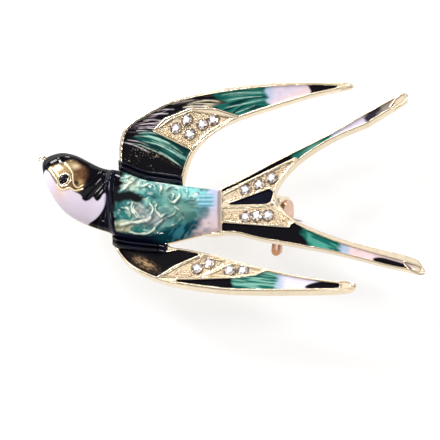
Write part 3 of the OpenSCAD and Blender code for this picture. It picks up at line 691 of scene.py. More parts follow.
def lower_edge_look(px, co):
    s = guide_value(px, LOWER_BARBS)
    x, y = px.T
    barb = streaks(s, x, 5, 31)
    rib = 0.5 + 0.5 * np.cos(2 * np.pi * s * 5)
    green = mix(GREEN_DARK, GREEN, ease(0.2, 0.5, barb))
    green = mix(green, GREEN_LIGHT, 0.7 * ease(0.55, 0.75, barb))
    ragged = noise(s * 6, x * 0, 33) - 0.5
    colour = mix(BLACK, green, ease(230.5, 234, x + 3 * ragged))
    colour = drawn(px, colour, [([(234, 278), (246, 276.4), (258, 276.8), (270, 279)], 0.5),
                                ([(235, 284), (248, 282.4), (262, 283.6), (273, 285)], 0.5),
                                ([(240, 288), (252, 286.6), (264, 287.6)], 0.4)], srgb(160, 216, 196), 0.85)
    pale = mix(SKY, srgb(228, 222, 238), ease(276, 287, x))
    edge_x = 277 - 0.2 * (y - 280)
    colour = mix(colour, pale, ease(edge_x - 4, edge_x + 2, x + 3 * ragged))
    tip = [(303, 285.5), (309, 282), (320, 280), (332, 280), (346, 280.5), (352, 283), (346, 287), (330, 288),
           (310, 287.5)]
    colour = mix(colour, BLACK, area_mask(px, tip, 0.7))
    deep = ease(230, 236, x) * (1 - ease(272, 280, x))
    return colour, 0.04 * (rib - 0.5) * (0.25 + 0.75 * deep)


def lower_root_look(px, co):
    x, y = px.T
    u, v = (x - 145) * 0.88 + (y - 263) * 0.47, -(x - 145) * 0.47 + (y - 263) * 0.88
    # Painted sheen in the black, a warm reflection streaked along the wing
    streaked = 0.15 + 0.85 * ease(0.25, 0.75, noise(u / 2.6, v / 1.0, 41))
    painted_sheen = np.exp(-(u / 10) ** 2 - (v / 3.6) ** 2) * streaked
    colour = mix(BLACK, srgb(196, 160, 118), np.clip(painted_sheen, 0, 0.85))
    return colour, 0.05 * noise(x / 16, y / 16, 42)


def tail_upper_look(px, co):
    x, y = px.T
    ragged = noise(y / 1.5, x / 8, 51) - 0.5
    colour = zones(x + 5 * ragged, [(291, 2.5), (330, 3), (338, 4), (364, 3), (379, 4)],
                   [BLACK, GREEN, SKY, LILAC, srgb(48, 44, 54), srgb(150, 140, 130)])
    colour = mix(colour, GREEN_LIGHT, 0.4 * np.exp(-((x - 312) / 9) ** 2))
    return colour, 0.03 * noise(x / 9, y / 9, 52)


def tail_lower_look(px, co):
    x, y = px.T
    s = guide_value(px, [[(220, 222), (300, 231), (340, 247), (420, 268)],
                         [(220, 229), (300, 243), (340, 254), (420, 276)]])
    ragged = noise(s * 4, x / 8, 61) - 0.5
    colour = zones(x + 6 * ragged - 0.3 * (y - 240), [(304, 2.5), (336, 3), (344, 4)],
                   [BLACK, GREEN, SKY, PINK])
    light = ease(0.55, 0.8, noise(s * 5, x / 20, 62))
    band = ease(304, 308, x) * (1 - ease(332, 340, x))
    colour = mix(colour, srgb(95, 180, 160), 0.6 * light * band)
    tip = [(370, 257.5), (378, 256.5), (390, 259.5), (401, 263), (408, 268), (411, 274), (403, 273),
           (392, 270), (380, 266), (373, 262)]
    colour = mix(colour, BLACK, area_mask(px, tip, 0.8))
    return colour, 0.04 * noise(x / 10, y / 10, 63)


def tail_middle_look(px, co):
    x, y = px.T
    return mix(BLACK, NAVY, noise(x / 7, y / 7, 71)), 0.03 * np.ones(len(x))


ENAMEL = enamel("wing_enamel")
limb_enamel("upper_wing_enamel", "upper", upper_look, ENAMEL)
limb_enamel("lower_wing_edge_enamel", "lower", lower_edge_look, ENAMEL)
DARK = enamel("wing_root_enamel", 0.16, 0.4, 0.1)
limb_enamel("lower_wing_root_enamel", "lower", lower_root_look, DARK)
TAIL = enamel("tail_enamel")
limb_enamel("tail_upper_enamel", "tail", tail_upper_look, TAIL)
limb_enamel("tail_lower_enamel", "tail", tail_lower_look, TAIL)
limb_enamel("tail_middle_enamel", "tail", tail_middle_look, DARK)


# Head and body enamel over the dome
def torso_ring(from_x, to_x):
    """Outline of the head and body between two places, inside its sides by the gap."""
    xs = np.append(np.arange(from_x, to_x, 0.25), to_x)
    low, high, _ = torso_at(xs)
    return np.vstack([np.stack([xs, low + SIDE_GAP], -1), np.stack([xs, high - SIDE_GAP], -1)[::-1]])


def torso_grid(from_x, to_x):
    """Points over the head or body, closer together towards its sides."""
    xs = np.arange(from_x, to_x, STEP)
    n = int(GRID_W / STEP)
    v = np.sin(np.linspace(-math.pi / 2, math.pi / 2, n))
    low, high, _ = torso_at(xs)
    y = (low + high)[:, None] / 2 + (high - low)[:, None] / 2 * v[None]
    return np.stack([np.repeat(xs[:, None], n, 1), y], -1).reshape(-1, 2)


EYE = np.array([-BODY_L / 2 - 0.60 * HEAD_L, 0.455 * HEAD_W])
RIM_LIFT, RIM_RUN, LIP = 0.05, 0.5, 0.1


def skin_piece(node, rings, from_x, to_x, look, mat):
    """Enamel laid over the dome: look(px) gives its colour, its relief and how far it is gilded."""
    co, faces, _ = fill_rings(rings, torso_grid(from_x, to_x))
    px = to_px(np.column_stack([co, torso_height(co[:, 0], co[:, 1]) + SKIN]))
    colour, height, gild = look(px)
    low, high, _ = torso_at(co[:, 0])
    rim = np.minimum(co[:, 1] - low, high - co[:, 1])
    lift = RIM_LIFT + (SKIN + height - RIM_LIFT) * ease(0, RIM_RUN, rim + 0.06)
    base = torso_height(co[:, 0], co[:, 1])
    # Past the dome's end the enamel runs down to a low lip
    past = ease(DOME_X - 0.1, END_X, co[:, 0])
    top = np.column_stack([co, base + lift - (base + lift - TOP_Z - LIP) * past ** 2])
    bottom = np.column_stack([co, np.where(co[:, 0] > DOME_X, TOP_Z, base) + CLEAR])
    points, all_faces = close_below(top, bottom, faces)
    ob = new_object(node + "_fired", points, all_faces)
    flat_after(ob, len(faces))
    paint(ob, "paint", np.vstack([colour, colour]))
    paint(ob, "gild", np.concatenate([gild, gild]))
    ob.data.materials.append(mat)
    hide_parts(node)


COLLAR_X, RUMP_X, DOME_X, END_X = -BODY_L * 0.45, BODY_L * 0.41, BODY_L * 0.515, BODY_L * 0.531

THROAT = [(1.02, 0.745), (0.93, 0.74), (0.86, 0.64), (0.79, 0.50), (0.68, 0.37), (0.47, 0.29), (0.33, 0.20),
          (0.20, 0.21), (0.06, 0.20), (0.05, 0.13), (0.07, 0.02), (0.16, -0.10), (0.30, -0.22)]


def head_ring_pair():
    """The head's outline cut along the edge of the throat: cap and collar, then throat."""
    outline = torso_ring(torso[0, 0], COLLAR_X - CLEAR)
    cut = np.array([(-BODY_L / 2 - a * HEAD_L, b * HEAD_W) for a, b in THROAT])
    dense = smooth_line(cut, 6)
    low, high, _ = torso_at(dense[:, 0])
    within = (dense[:, 1] > low + SIDE_GAP) & (dense[:, 1] < high - SIDE_GAP) & (dense[:, 0] > torso[0, 0])
    dense = dense[within]
    face_x = torso[0, 0]
    n = len(outline) // 2
    lower, upper = outline[:n], outline[n:][::-1]
    first, last = dense[0], dense[-1]
    # The cut runs from the face's end wall to the lower edge
    start = np.array([face_x, first[1]])
    end_x = last[0]
    end = np.array([end_x, np.interp(end_x, lower[:, 0], lower[:, 1])])
    cut = np.vstack([start[None], dense, end[None]])
    left = lower[lower[:, 0] < end_x - 0.05]
    right = lower[lower[:, 0] > end_x + 0.05]
    throat = np.vstack([left, cut[::-1]])
    cap = np.vstack([cut, right, upper[::-1]])
    return cap, throat


cap_ring, throat_ring = head_ring_pair()


def head_look(px):
    x, y = px.T
    n = len(x)
    white = mix(srgb(222, 208, 222), srgb(228, 224, 244), 1 - ease(44, 54, x - 0.25 * (y - 175)))
    white = mix(white, srgb(230, 200, 192), blob(px, 58, 192, 9, 10) * 0.75)
    white = mix(white, srgb(206, 198, 220), ease(90, 104, x) * 0.5)
    throat = [(43, 171), (47.5, 171.5), (50, 175), (54, 181), (59, 188), (64, 190.3), (69, 189), (74, 191.5),
              (79, 194),
              (81.5, 196.5), (82, 199), (85, 201), (89, 200), (93, 197), (94.5, 199), (97, 201), (100, 199),
              (102.5, 195),
              (105, 193), (105.5, 198), (104.5, 205), (102, 211), (97.5, 217), (91, 222), (84, 225),
              (70, 225), (55, 215), (40, 190)]
    t = area_mask(px, throat, 0.7)
    cheek = [(49, 169), (51, 166), (57, 164), (62, 163.3), (66, 161.5), (71, 160), (76, 161.5), (81, 165),
             (87, 168.5),
             (89, 173), (87, 178), (85, 183), (82.5, 188), (78, 191.5), (73, 191), (66, 190), (60, 188),
             (55, 182)]
    q = warp(px, 2.4, 5.0, 84)
    gold = mix(srgb(184, 156, 114), srgb(112, 78, 50), ease(60, 80, x + 0.3 * (y - 170)))
    vein = 1 - np.abs(2 * noise(q[:, 0] / 4.2, q[:, 1] / 3.4, 81) - 1)
    speckle = noise(x / 1.6, y / 1.6, 82)
    gold = mix(gold, srgb(78, 48, 30), 0.6 * ease(0.72, 0.95, vein) + 0.35 * ease(0.5, 0.8, speckle))
    # Two pale spots on the cheek are painted highlights
    gold = mix(gold, srgb(236, 212, 168), blob(px, 75, 166, 4.5, 2.6) * 0.85)
    gold = mix(gold, srgb(206, 170, 118), blob(px, 80, 182, 3, 3) * 0.6)
    colour = mix(BLACK, gold, area_mask(px, cheek, 2.2) * (1 - 0.85 * ease(80, 90, x)))
    colour = mix(colour, white, t)
    # Feather strokes between the cap and the throat, and the collar's rolled edge
    height = np.zeros(n)
    for stroke in ([(104, 175), (97, 184), (90, 191), (83, 198)],
                   [(106, 181), (100, 189), (94, 195), (88, 199)],
                   [(106, 187), (102, 192), (96, 199)], [(103, 170), (96, 177), (89, 184), (82, 190)]):
        d, a = line_distance(px, smooth_line(stroke))
        height += 0.10 * np.exp(-(d / 1.0) ** 2) * (1 - 0.5 * a)
    roll, _ = line_distance(px, smooth_line([(112, 168), (109.5, 185), (110, 205), (112, 222), (116, 238)]))
    height += 0.28 * np.exp(-(roll / 2.6) ** 2)
    groove, _ = line_distance(px, smooth_line([(106, 170), (104.5, 185), (106, 200), (105, 214), (103, 228)]))
    height -= 0.12 * np.exp(-(groove / 1.3) ** 2)
    colour = mix(colour, NAVY, 0.6 * ease(103, 108, x))
    brow, _ = line_distance(px, smooth_line([(47, 162), (56, 157.5), (66, 156), (77, 158), (88, 163)]))
    height += 0.10 * np.exp(-(brow / 1.8) ** 2)
    # Gilded lines of the cheek, its curl and the hole in it
    gild = 0.12 * area_mask(px, cheek, 1.6) * (1 - ease(66, 84, x + 0.2 * (y - 170)))
    for line, width in (([(47.5, 169), (51.5, 174), (56.5, 181), (57.5, 186.5), (62, 189.8), (69, 188),
                          (75, 190.8), (82.5, 189)], 0.9),
                        ([(64, 162.5), (68.5, 167), (72, 173), (72.6, 179), (73.4, 184), (77.5, 187.8),
                          (83, 185)], 0.75),
                        ([(49, 167.5), (53, 170.5), (57.5, 176.5)], 1.4)):
        d, _ = line_distance(px, smooth_line(line))
        r = np.exp(-(d / width) ** 2)
        height += (0.04 if width > 1 else 0.08) * r
        gild = np.maximum(gild, 0.7 * ease(0.2, 0.6, r))
        colour = mix(colour, srgb(236, 214, 168), ease(0.2, 0.7, r))
    # The hole is painted dark: painted shade in it, over a small dip
    hole = np.hypot(x - 76.3, y - 182.8)
    colour = mix(colour, srgb(30, 16, 12), 0.9 * np.exp(-(hole / 2.1) ** 4))
    height -= 0.08 * np.exp(-(hole / 2.1) ** 4)
    return colour, height, gild


# Scrolls on the back, each its points and its width; after them two dark leaves and the black smear
SCROLLS = [
    ([(134, 179), (140, 175.5), (146.5, 174.5), (153, 177), (158, 181), (161, 187), (160.5, 193)], 1.3),
    ([(139, 186), (145, 184.5), (150, 183), (155, 186), (158, 190)], 1.2),
    ([(166, 189), (170, 186.5), (175, 186), (179, 190), (179.5, 195), (177, 200), (172.5, 202.5),
      (168.5, 200), (167.5, 196.5)], 1.3),
    ([(169.5, 194), (172.5, 193), (174.5, 195.5), (173, 198.5), (170.5, 198.5)], 0.9),
    ([(149.5, 202), (152, 206), (153.4, 210.5), (151, 215.5)], 1.2),
    ([(157.5, 203), (156, 207.5), (158, 213), (161.5, 217), (166, 214)], 1.2),
    ([(120, 208), (125.5, 207.5), (129, 211.5), (131.5, 216)], 1.0),
    ([(127.5, 204), (132.5, 203), (131, 208), (135, 214), (139.5, 218)], 1.1),
    ([(136, 204), (133.5, 209), (138.5, 215), (143, 219)], 0.9),
    ([(116, 225), (123, 224), (131, 222.5), (140, 222), (148, 219.5), (152, 216)], 2.0),
    ([(128, 231.5), (134, 233.5), (141, 234), (150, 232.5), (156, 228), (161, 222)], 1.2),
    ([(163, 219.5), (158, 225), (153, 230)], 1.1),
    ([(165, 226), (171, 225.5), (177, 223), (182, 218)], 0.8),
    ([(174, 205), (178, 209), (182.5, 213)], 0.9),
    ([(184, 201), (188, 199), (192, 200), (195, 197)], 0.8),
    ([(160, 168), (168, 174), (176, 181), (184, 189)], 1.0),
    ([(122, 190), (128, 184), (133, 181)], 1.6),
    ([(125, 178), (131, 174.5), (138, 172.5)], 1.0), ([(146, 180), (150, 178), (157, 183), (163, 184)], 1.0),
    ([(184, 186), (188, 190), (187, 195)], 0.8), ([(141, 203), (146, 207), (149, 212)], 0.8),
    ([(146, 226), (152, 223), (158, 218.5)], 0.6), ([(166, 218), (172, 216), (176, 211), (174, 206)], 0.7)]


LEAVES = [[(119, 211), (123, 208), (128, 211), (131, 216), (127, 219), (121, 216)],
          [(131, 229), (136, 225.5), (143, 227), (146, 231), (140, 234), (133, 233)]]
SMEAR = [(111, 193), (120, 191), (132, 191), (142, 195), (144, 200), (138, 203), (128, 201), (113, 203)]


def rear_colour(px):
    """Pale lilac and rose before the tail."""
    x, y = px.T
    colour = mix(srgb(196, 200, 226), srgb(226, 204, 206), ease(198, 226, y))
    haze = ease(0.45, 0.8, noise(x / 5, y / 2.4, 78)) * (1 - ease(206, 214, x)) * ease(212, 218, y)
    colour = mix(colour, srgb(150, 150, 168), 0.6 * haze)
    return mix(colour, srgb(220, 190, 176), ease(214, 221, x) * 0.6)


def body_look(px):
    x, y = px.T
    n = len(x)
    p = warp(px, 1.3, 6.0, 90)
    q0 = warp(px, 2.6, 9.0, 88)
    wave, cloud = noise(p[:, 0] / 10, p[:, 1] / 7, 91), noise(p[:, 0] / 3.4, p[:, 1] / 2.6, 93)
    left = 1 - ease(146, 172, x)
    teal = mix(srgb(28, 96, 98), srgb(102, 168, 160), ease(0.2, 0.8, 0.55 * wave + 0.45 * cloud))
    # Along the top of the body the teal is painted lighter, with white swirls in that band: a painted
    # highlight
    crest = np.interp(x, [118, 135, 150, 180, 210], [182, 178, 178, 188, 198])
    upper = np.exp(-((y - crest) / 7) ** 2)
    teal = mix(teal, srgb(150, 226, 222), 0.9 * upper * ease(0.15, 0.5, cloud))
    swirl = ease(0.55, 0.78, noise(q0[:, 0] / 6.5, q0[:, 1] / 2.2, 89)) * ease(122, 132, x)
    teal = mix(teal, srgb(232, 250, 244), 0.75 * upper * swirl)
    teal = mix(teal, srgb(112, 148, 136), blob(px, 179, 210, 16, 10) * 0.85)
    teal = mix(teal, srgb(198, 190, 152), blob(px, 124, 227, 11, 6, 4))
    mottle = noise(p[:, 0] / 3.0, p[:, 1] / 2.4, 87)
    spot = blob(px, 126, 180, 10, 9, 4)
    teal = mix(teal, srgb(14, 40, 38), 0.85 * spot * (1 - ease(0.34, 0.52, mottle)))
    teal = mix(teal, srgb(216, 228, 208), 0.8 * spot * ease(0.58, 0.75, mottle))
    teal = mix(teal, srgb(200, 208, 182), blob(px, 131, 184, 10, 6.5) * 0.8)
    teal = mix(teal, srgb(196, 190, 192), blob(px, 151, 219, 12, 6) * 0.95)
    teal = mix(teal, srgb(158, 148, 146), blob(px, 139, 210, 9, 6) * 0.8)
    teal = mix(teal, srgb(176, 196, 176), blob(px, 168, 190, 8, 7) * 0.5)
    leaf = np.max([area_mask(p, ring, 1.0) for ring in LEAVES], 0)
    teal = mix(teal, srgb(38, 120, 112), 0.9 * leaf)
    # Towards the lower edge the teal is painted darker: painted shade
    edge_low = np.interp(x, [113, 130, 150, 170, 190, 215], [238, 241, 243, 238, 231, 223])
    deep, deepest = np.interp(x, [145, 165], [8, 14]), np.interp(x, [145, 165], [3.5, 6])
    strand = ease(0.3, 0.7, noise((x + 0.7 * y) / 2.4, (y - 0.3 * x) / 9, 83))
    low_teal = mix(srgb(4, 62, 74), srgb(54, 126, 142), strand * ease(162, 180, x))
    teal = mix(teal, low_teal, ease(edge_low - deep, edge_low - deepest, y + 3 * (wave - 0.5)))
    # Winding veins in the left half, then the scrolls
    vein = 1 - np.abs(2 * noise(p[:, 0] / 5.5, p[:, 1] / 4.5, 97) - 1)
    teal = mix(teal, srgb(12, 60, 62), 0.45 * ease(0.6, 0.97, vein) * left)
    light = noise(p[:, 0] / 3.6, p[:, 1] / 2.2, 99)
    low_band = ease(edge_low - 12, edge_low - 6, y)
    teal = mix(teal, srgb(208, 224, 206), 0.5 * ease(0.6, 0.85, light) * (0.4 + 0.6 * left) * (1 - low_band))
    q = warp(px, 0.9, 4.0, 94)
    line, shade = np.zeros(n), np.zeros(n)
    for points, width in SCROLLS:
        curve = smooth_line(points)
        force = min(width, 1.2) / 1.2
        d, a = line_distance(q, curve)
        ends = np.sin(np.pi * np.clip(a, 0.04, 0.96)) ** 0.4
        line = np.maximum(line, force * np.exp(-(d / width) ** 2) * ends)
        # Beside each scroll, to its lower right, a painted shadow
        d, _ = line_distance(q - [0.9, 1.5], curve)
        shade = np.maximum(shade, force * np.exp(-(d / (width * 1.2)) ** 2))
    colour = mix(teal, srgb(6, 58, 60), 0.75 * shade * (1 - line))
    touch = noise(p[:, 0] / 3.2, p[:, 1] / 3.2, 98)
    colour = mix(colour, mix(srgb(146, 196, 182), srgb(240, 242, 222), ease(0.3, 0.7, line * (0.4 + touch))),
                 0.9 * ease(0.2, 0.8, line * (0.4 + 0.9 * touch)))
    smear = area_mask(q, SMEAR, 2.4)
    colour = mix(colour, srgb(6, 10, 14), smear)
    throat_end = np.interp(y, [170, 188, 196, 206], [126, 122, 118, 116])
    neck = 1 - ease(throat_end - 4, throat_end + 2, x + 4 * (noise(x / 6, y / 3, 92) - 0.5))
    colour = mix(colour, BLACK, neck)
    # Navy along the lower edge of the left half: painted shade
    foot = ease(edge_low - 9, edge_low - 5.5, y) * (1 - ease(148, 166, x))
    colour = mix(colour, NAVY, foot)
    # Ribbed pale blue bars before the rump
    bars = ease(196, 200, x) * (1 - ease(210, 217, x)) * ease(193, 195, y) * (1 - ease(206, 208, y))
    ripple = np.cos((y - 196) * 2 * np.pi / 4)
    rear = ease(200, 217, x + 0.5 * np.maximum(y - 208, 0) + 9 * (noise(x / 5, y / 3, 96) - 0.5))
    colour = mix(colour, rear_colour(px), rear)
    colour = mix(colour, mix(srgb(84, 160, 182), srgb(166, 210, 222), 0.5 + 0.5 * ripple), 0.9 * bars)
    grey = area_mask(px, [(198, 208), (208, 207), (209, 213), (206, 217), (199, 216)], 1.6)
    colour = mix(colour, srgb(84, 124, 134), 0.75 * grey)
    height = 0.13 * line * (1 - smear) + 0.04 * vein * left * (1 - line)
    height = height - 0.03 * leaf - 0.02 + 0.04 * bars * ripple
    return colour, height * (1 - 0.8 * neck), np.zeros(n)


FACE_X = torso[0, 0]
HEAD_MAT = enamel("head_enamel", 0.12, 1.0, 0.08, gilded=True)
THROAT_MAT = enamel("throat_enamel", 0.3, 0.25, 0.06, gilded=True)
BODY_MAT = enamel("body_enamel", 0.08, 0.55, 0.12)
RUMP_MAT = enamel("rump_enamel", 0.08, 0.5, 0.12)
skin_piece("head_enamel", [cap_ring, EYE + circle(40)], FACE_X, COLLAR_X, head_look, HEAD_MAT)
skin_piece("throat_enamel", [throat_ring], FACE_X, COLLAR_X, head_look, THROAT_MAT)
skin_piece("body_enamel", [torso_ring(COLLAR_X, RUMP_X)], COLLAR_X, RUMP_X, body_look, BODY_MAT)
skin_piece("rump_enamel", [torso_ring(RUMP_X, END_X)], RUMP_X, END_X, body_look, RUMP_MAT)


# Rolled cords over the wing roots
CORD_W, CORD_H, CORD_STEPS, CORD_ROWS = 1.5, 0.9, 90, 28


def cord_piece(name, node, side, from_x, to_x, end_taper):
    """Two ridges side by side along the body's upper or lower edge, tapered at both ends."""
    xs = np.linspace(from_x, to_x, CORD_STEPS)
    low, high, _ = torso_at(xs)
    bend = UPPER_BEND if side > 0 else LOWER_BEND
    top, bottom = [], []
    for k in range(CORD_ROWS + 1):
        v = k / CORD_ROWS
        y = (high if side > 0 else low) + side * (v * (CORD_W + 0.1) - 0.04)
        plate = TOP_Z + np.maximum((side * y - bend) * math.tan(RAISE), 0)
        ridge = CORD_H * (0.12 + 0.88 * np.abs(np.sin(2 * np.pi * v)) ** 0.75)
        taper = np.minimum(ease(-0.1, 0.9, xs - from_x), ease(-0.1, end_taper, to_x - xs))
        top.append(np.stack([xs, y, plate + CLEAR + ridge * (0.1 + 0.9 * taper)], -1))
        bottom.append(np.stack([xs, y, plate - CLEAR], -1))
    top, bottom = np.concatenate(top), np.concatenate(bottom)
    n = len(xs)
    faces = []
    for k in range(CORD_ROWS):
        for i in range(n - 1):
            a = k * n + i
            quad = (a, a + 1, a + n + 1, a + n)
            pair = [quad[:3], (quad[0], quad[2], quad[3])]
            faces += pair if side > 0 else [quad[2::-1], (quad[0], quad[3], quad[2])]
    points, all_faces = close_below(top, bottom, np.array(faces))
    ob = new_object(name, points, all_faces)
    c = mix(NAVY, BLACK, noise(points[:, 0], points[:, 1], 95))
    paint(ob, "paint", c)
    ob.data.materials.append(CORD_MAT)
    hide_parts(node)


CORD_MAT = enamel("cord_enamel", 0.16, 1.0, 0.1, coat_ior=1.5)
cord_piece("upper_cord_fired", "upper_cord_enamel", 1, -BODY_L * 0.44, BODY_L * 0.17, 0.6)
cord_piece("lower_cord_fired", "lower_cord_enamel", -1, -BODY_L * 0.5, BODY_L * 0.03, 1.8)


# Casting: the part's own casting, with its edges worn round
def ball(centre, radii, fine=True):
    """Closed ball as points and faces."""
    bm = bmesh.new()
    bmesh.ops.create_icosphere(bm, subdivisions=3 if fine else 2, radius=1)
    pts = np.array([v.co[:] for v in bm.verts]) * radii + centre
    fcs = [tuple(v.index for v in f.verts) for f in bm.faces]
    bm.free()
    return pts, fcs


def join_parts(parts):
    points, faces, n = [], [], 0
    for p, f in parts:
        points.append(p)
        faces += [tuple(np.array(g) + n) for g in f]
        n += len(p)
    return np.vstack(points), faces


def worn_casting():
    node = NODES["casting"]
    mesh = node.data.copy()
    bm = bmesh.new()
    bm.from_mesh(mesh)
    bmesh.ops.remove_doubles(bm, verts=bm.verts, dist=1e-7)
    beak = on_surface([(40.8, 157.2)], lambda x, y: np.full(np.shape(x), TOP_Z - 0.1))[0]
    extra = [ball(beak, (0.5, 0.42, 0.42)),
             ball(on_surface([(349.5, 87.0)], upper_height)[0], (0.5, 0.38, 0.38)),
             ball(on_surface([(351.0, 284.5)], lower_height)[0], (0.42, 0.42, 0.36))]
    pts, fcs = join_parts(extra)
    new = [bm.verts.new((p - MIDDLE) * MM) for p in pts]
    for f in fcs:
        bm.faces.new([new[k] for k in f])
    bmesh.ops.scale(bm, vec=(1 / MM,) * 3, verts=bm.verts)
    bm.to_mesh(mesh)
    bm.free()
    ob = link_object("casting_worn", mesh)
    mod = ob.modifiers.new("worn", "REMESH")
    mod.mode = "VOXEL"
    mod.voxel_size = VOXEL
    mod = ob.modifiers.new("soft", "SMOOTH")
    mod.factor = 0.5
    mod.iterations = 3
    mod = ob.modifiers.new("fewer", "DECIMATE")
    mod.ratio = KEPT_FACES
    deps = bpy.context.evaluated_depsgraph_get()
    made = bpy.data.meshes.new_from_object(ob.evaluated_get(deps))
    ob.modifiers.clear()
    ob.data = made
    made.transform(Matrix.Scale(MM, 4))
    made.materials.clear()
    made.materials.append(GOLD)
    made.polygons.foreach_set("use_smooth", [True] * len(made.polygons))
    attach(ob, "brooch")
    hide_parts("casting")


worn_casting()

# Rounded rims: a soft wire of metal along every cell's edge
def tube(path, radius, closed, sides=8):
    """Wire along a path that runs roughly level, of one radius or one for each point."""
    path = np.asarray(path, float)
    if closed:
        after, before = np.roll(path, -1, 0), np.roll(path, 1, 0)
    else:
        after, before = np.vstack([path[1:], path[-1:]]), np.vstack([path[:1], path[:-1]])
    t = unit(after - before)
    side = unit(np.stack([-t[:, 1], t[:, 0], 0 * t[:, 0]], -1))
    rad = np.broadcast_to(radius, (len(path),))[:, None]
    ang = 2 * np.pi * np.arange(sides) / sides
    pts = np.concatenate([path + rad * (math.cos(a) * side + math.sin(a) * np.array([0, 0, 1])) for a in ang])
    n = len(path)
    faces = []
    for k in range(sides):
        for i in range(n if closed else n - 1):
            j, m = (i + 1) % n, (k + 1) % sides
            faces.append((k * n + i, k * n + j, m * n + j, m * n + i))
    if not closed:
        faces.append(tuple(k * n for k in range(sides)))
        faces.append(tuple(k * n + n - 1 for k in range(sides))[::-1])
    return pts, faces


def raised(points, w):
    return np.column_stack([points, np.full(len(points), w)])


def trim_piece(name, points, faces, mat=GOLD):
    ob = new_object(name, points, faces)
    ob.data.materials.append(mat)


# Radius of the rims, the side where they are fuller, and by what share
RIM_R = {"upper": 0.195, "lower": 0.195, "tail": 0.1}
LEADING = {"upper": np.array([-0.35, 0.94]), "lower": np.array([-0.4, -0.9]), "tail": np.array([0.0, 1.0])}
FULLER = {"upper": 0.5, "lower": 0.15, "tail": 0.0}


def rim_piece(limb, cells, lines):
    """Wires round the cells and the stone fields, and lines given as points, closed or not, and radius."""
    radius = RIM_R[limb]
    parts = []
    for node in cells:
        for ring in cell_rings(node, limb):
            ring = resample(grow(ring, radius * 1.02), 0.3)
            out = np.roll(ring, -1, 0) - np.roll(ring, 1, 0)
            out = unit(np.stack([out[:, 1], -out[:, 0]], -1))
            full = ease(0.1, 0.5, out @ LEADING[limb])
            if FIELD_RINGS[limb]:
                full *= ease(0.6, 1.2, rings_distance(ring, FIELD_RINGS[limb]))
            rad = radius * (1 + FULLER[limb] * full)
            inward = ring - out * (rad - radius)[:, None]
            parts.append(tube(raised(inward, PLATE_T - 0.04 - (rad - radius)), rad, True))
    for px, closed, r in lines:
        p = px_ring(smooth_line(px, 6, closed), limb)
        parts.append(tube(raised(p, PLATE_T), r, closed))
    for ring in FIELD_RINGS[limb]:
        parts.append(tube(raised(resample(grow(ring, 0.1), 0.3), PLATE_T - 0.03), 0.11, True))
    points, faces = join_parts(parts)
    trim_piece(limb + "_rims", place_limb(points, limb), faces)


# Grains of the stone fields and beads round the stones
STONES = {limb: sorted(n for n in NODES if n.startswith(start)) for limb, start in
          (("upper", "upper_wing_stone"), ("lower", "lower_wing_stone"), ("tail", "tail_stone"))}
UPPER_L, UPPER_R, UPPER_X = 36.9, 19.0, -7.0125
STONE_D = 1.5
GRAIN_PITCH, GRAIN_R, GRAIN_LOW, GRAIN_RISE = 0.34, (0.11, 0.17), 0.2, 0.06
PRONGS, PRONG_OUT, PRONG_UP, PRONG_R, PRONG_H = 4, 0.05, 0.08, 0.19, 0.17
SEAT_OUT, SEAT_LOW, SEAT_R = 0.12, 0.1, 0.13
STONE_GROWN, STONE_FLAT, STONE_SUNK = 0.07, 0.8, 0.42


def stone_places(limb):
    return np.array([limb_local(cad_points(n), limb).mean(0) for n in STONES[limb]])


def field_points(limb, pitch, rings, seed):
    rng = np.random.default_rng(seed)
    places = stone_places(limb)
    out = []
    for ring in rings:
        low = ring.min(0)
        nx, ny = int(np.ptp(ring[:, 0]) / pitch) + 2, int(np.ptp(ring[:, 1]) / pitch) + 2
        for i in range(nx):
            for j in range(ny):
                out.append(low + (np.array([i + 0.5 * (j % 2), j]) + rng.uniform(-0.22, 0.22, 2)) * pitch)
    out = np.array(out)
    keep = np.zeros(len(out), bool)
    for ring in rings:
        keep |= inside(out, ring) & (line_distance(out, ring, True)[0] > pitch * 0.42)
    for q in places:
        keep &= np.hypot(*(out - q[:2]).T) > STONE_D / 2 + pitch * 0.42
    return out[keep]


def px_ring(points, limb):
    height = {"upper": upper_height, "lower": lower_height, "tail": tail_height}[limb]
    return limb_local(on_surface(points, height), limb)[:, :2]


# Outlines of the stone fields; the upper one is the part's own, in shares of its wing
FIELD_RINGS = {
    "upper": [np.array([(UPPER_X + a * UPPER_L, b * UPPER_R) for a, b in
                        [(0.158, 0.70), (0.228, 0.778), (0.315, 0.828), (0.49, 0.738), (0.305, 0.525)]])],
    "lower": [px_ring(ring, "lower") for ring in (
        [(163, 275.5), (178, 267), (196, 258.5), (203, 256.5), (226, 262), (206, 274.5), (190, 276.5)],
        [(210, 274), (232, 263.5), (245, 266), (260, 270.5), (247, 273), (232, 275)])],
    "tail": [px_ring(ring, "tail") for ring in (
        [(222.5, 196), (222.5, 202.5), (235, 198), (272, 187), (277, 182), (296, 160), (284, 164),
         (250, 181)],
        [(222.5, 208.5), (222.5, 220), (245, 223), (288, 225), (291, 223), (277, 212), (268, 205.5),
         (245, 208)])]}


rim_piece("upper", ["upper_wing_enamel"],
          [([(336, 84.5), (343, 84), (349, 84.5)], False, 0.12),
           ([(340, 90.5), (345, 89.5), (349, 88.5)], False, 0.12)])
rim_piece("lower", ["lower_wing_root_enamel", "lower_wing_edge_enamel"],
          [([(338, 280), (345, 281), (350, 283.5)], False, 0.11),
           ([(338, 288.5), (345, 288), (350, 286.5)], False, 0.11)])
rim_piece("tail", ["tail_upper_enamel", "tail_middle_enamel", "tail_lower_enamel"],
          [([(389, 108.5), (393, 102), (399, 96.5), (403.5, 95), (406, 97.5), (404, 102), (399, 106),
             (393, 109.5)], True, 0.15),
           ([(400, 261), (409, 263.2), (416, 266.5), (419.5, 270.5), (417.5, 272.8), (411, 271.5),
             (404, 267)], True, 0.15)])


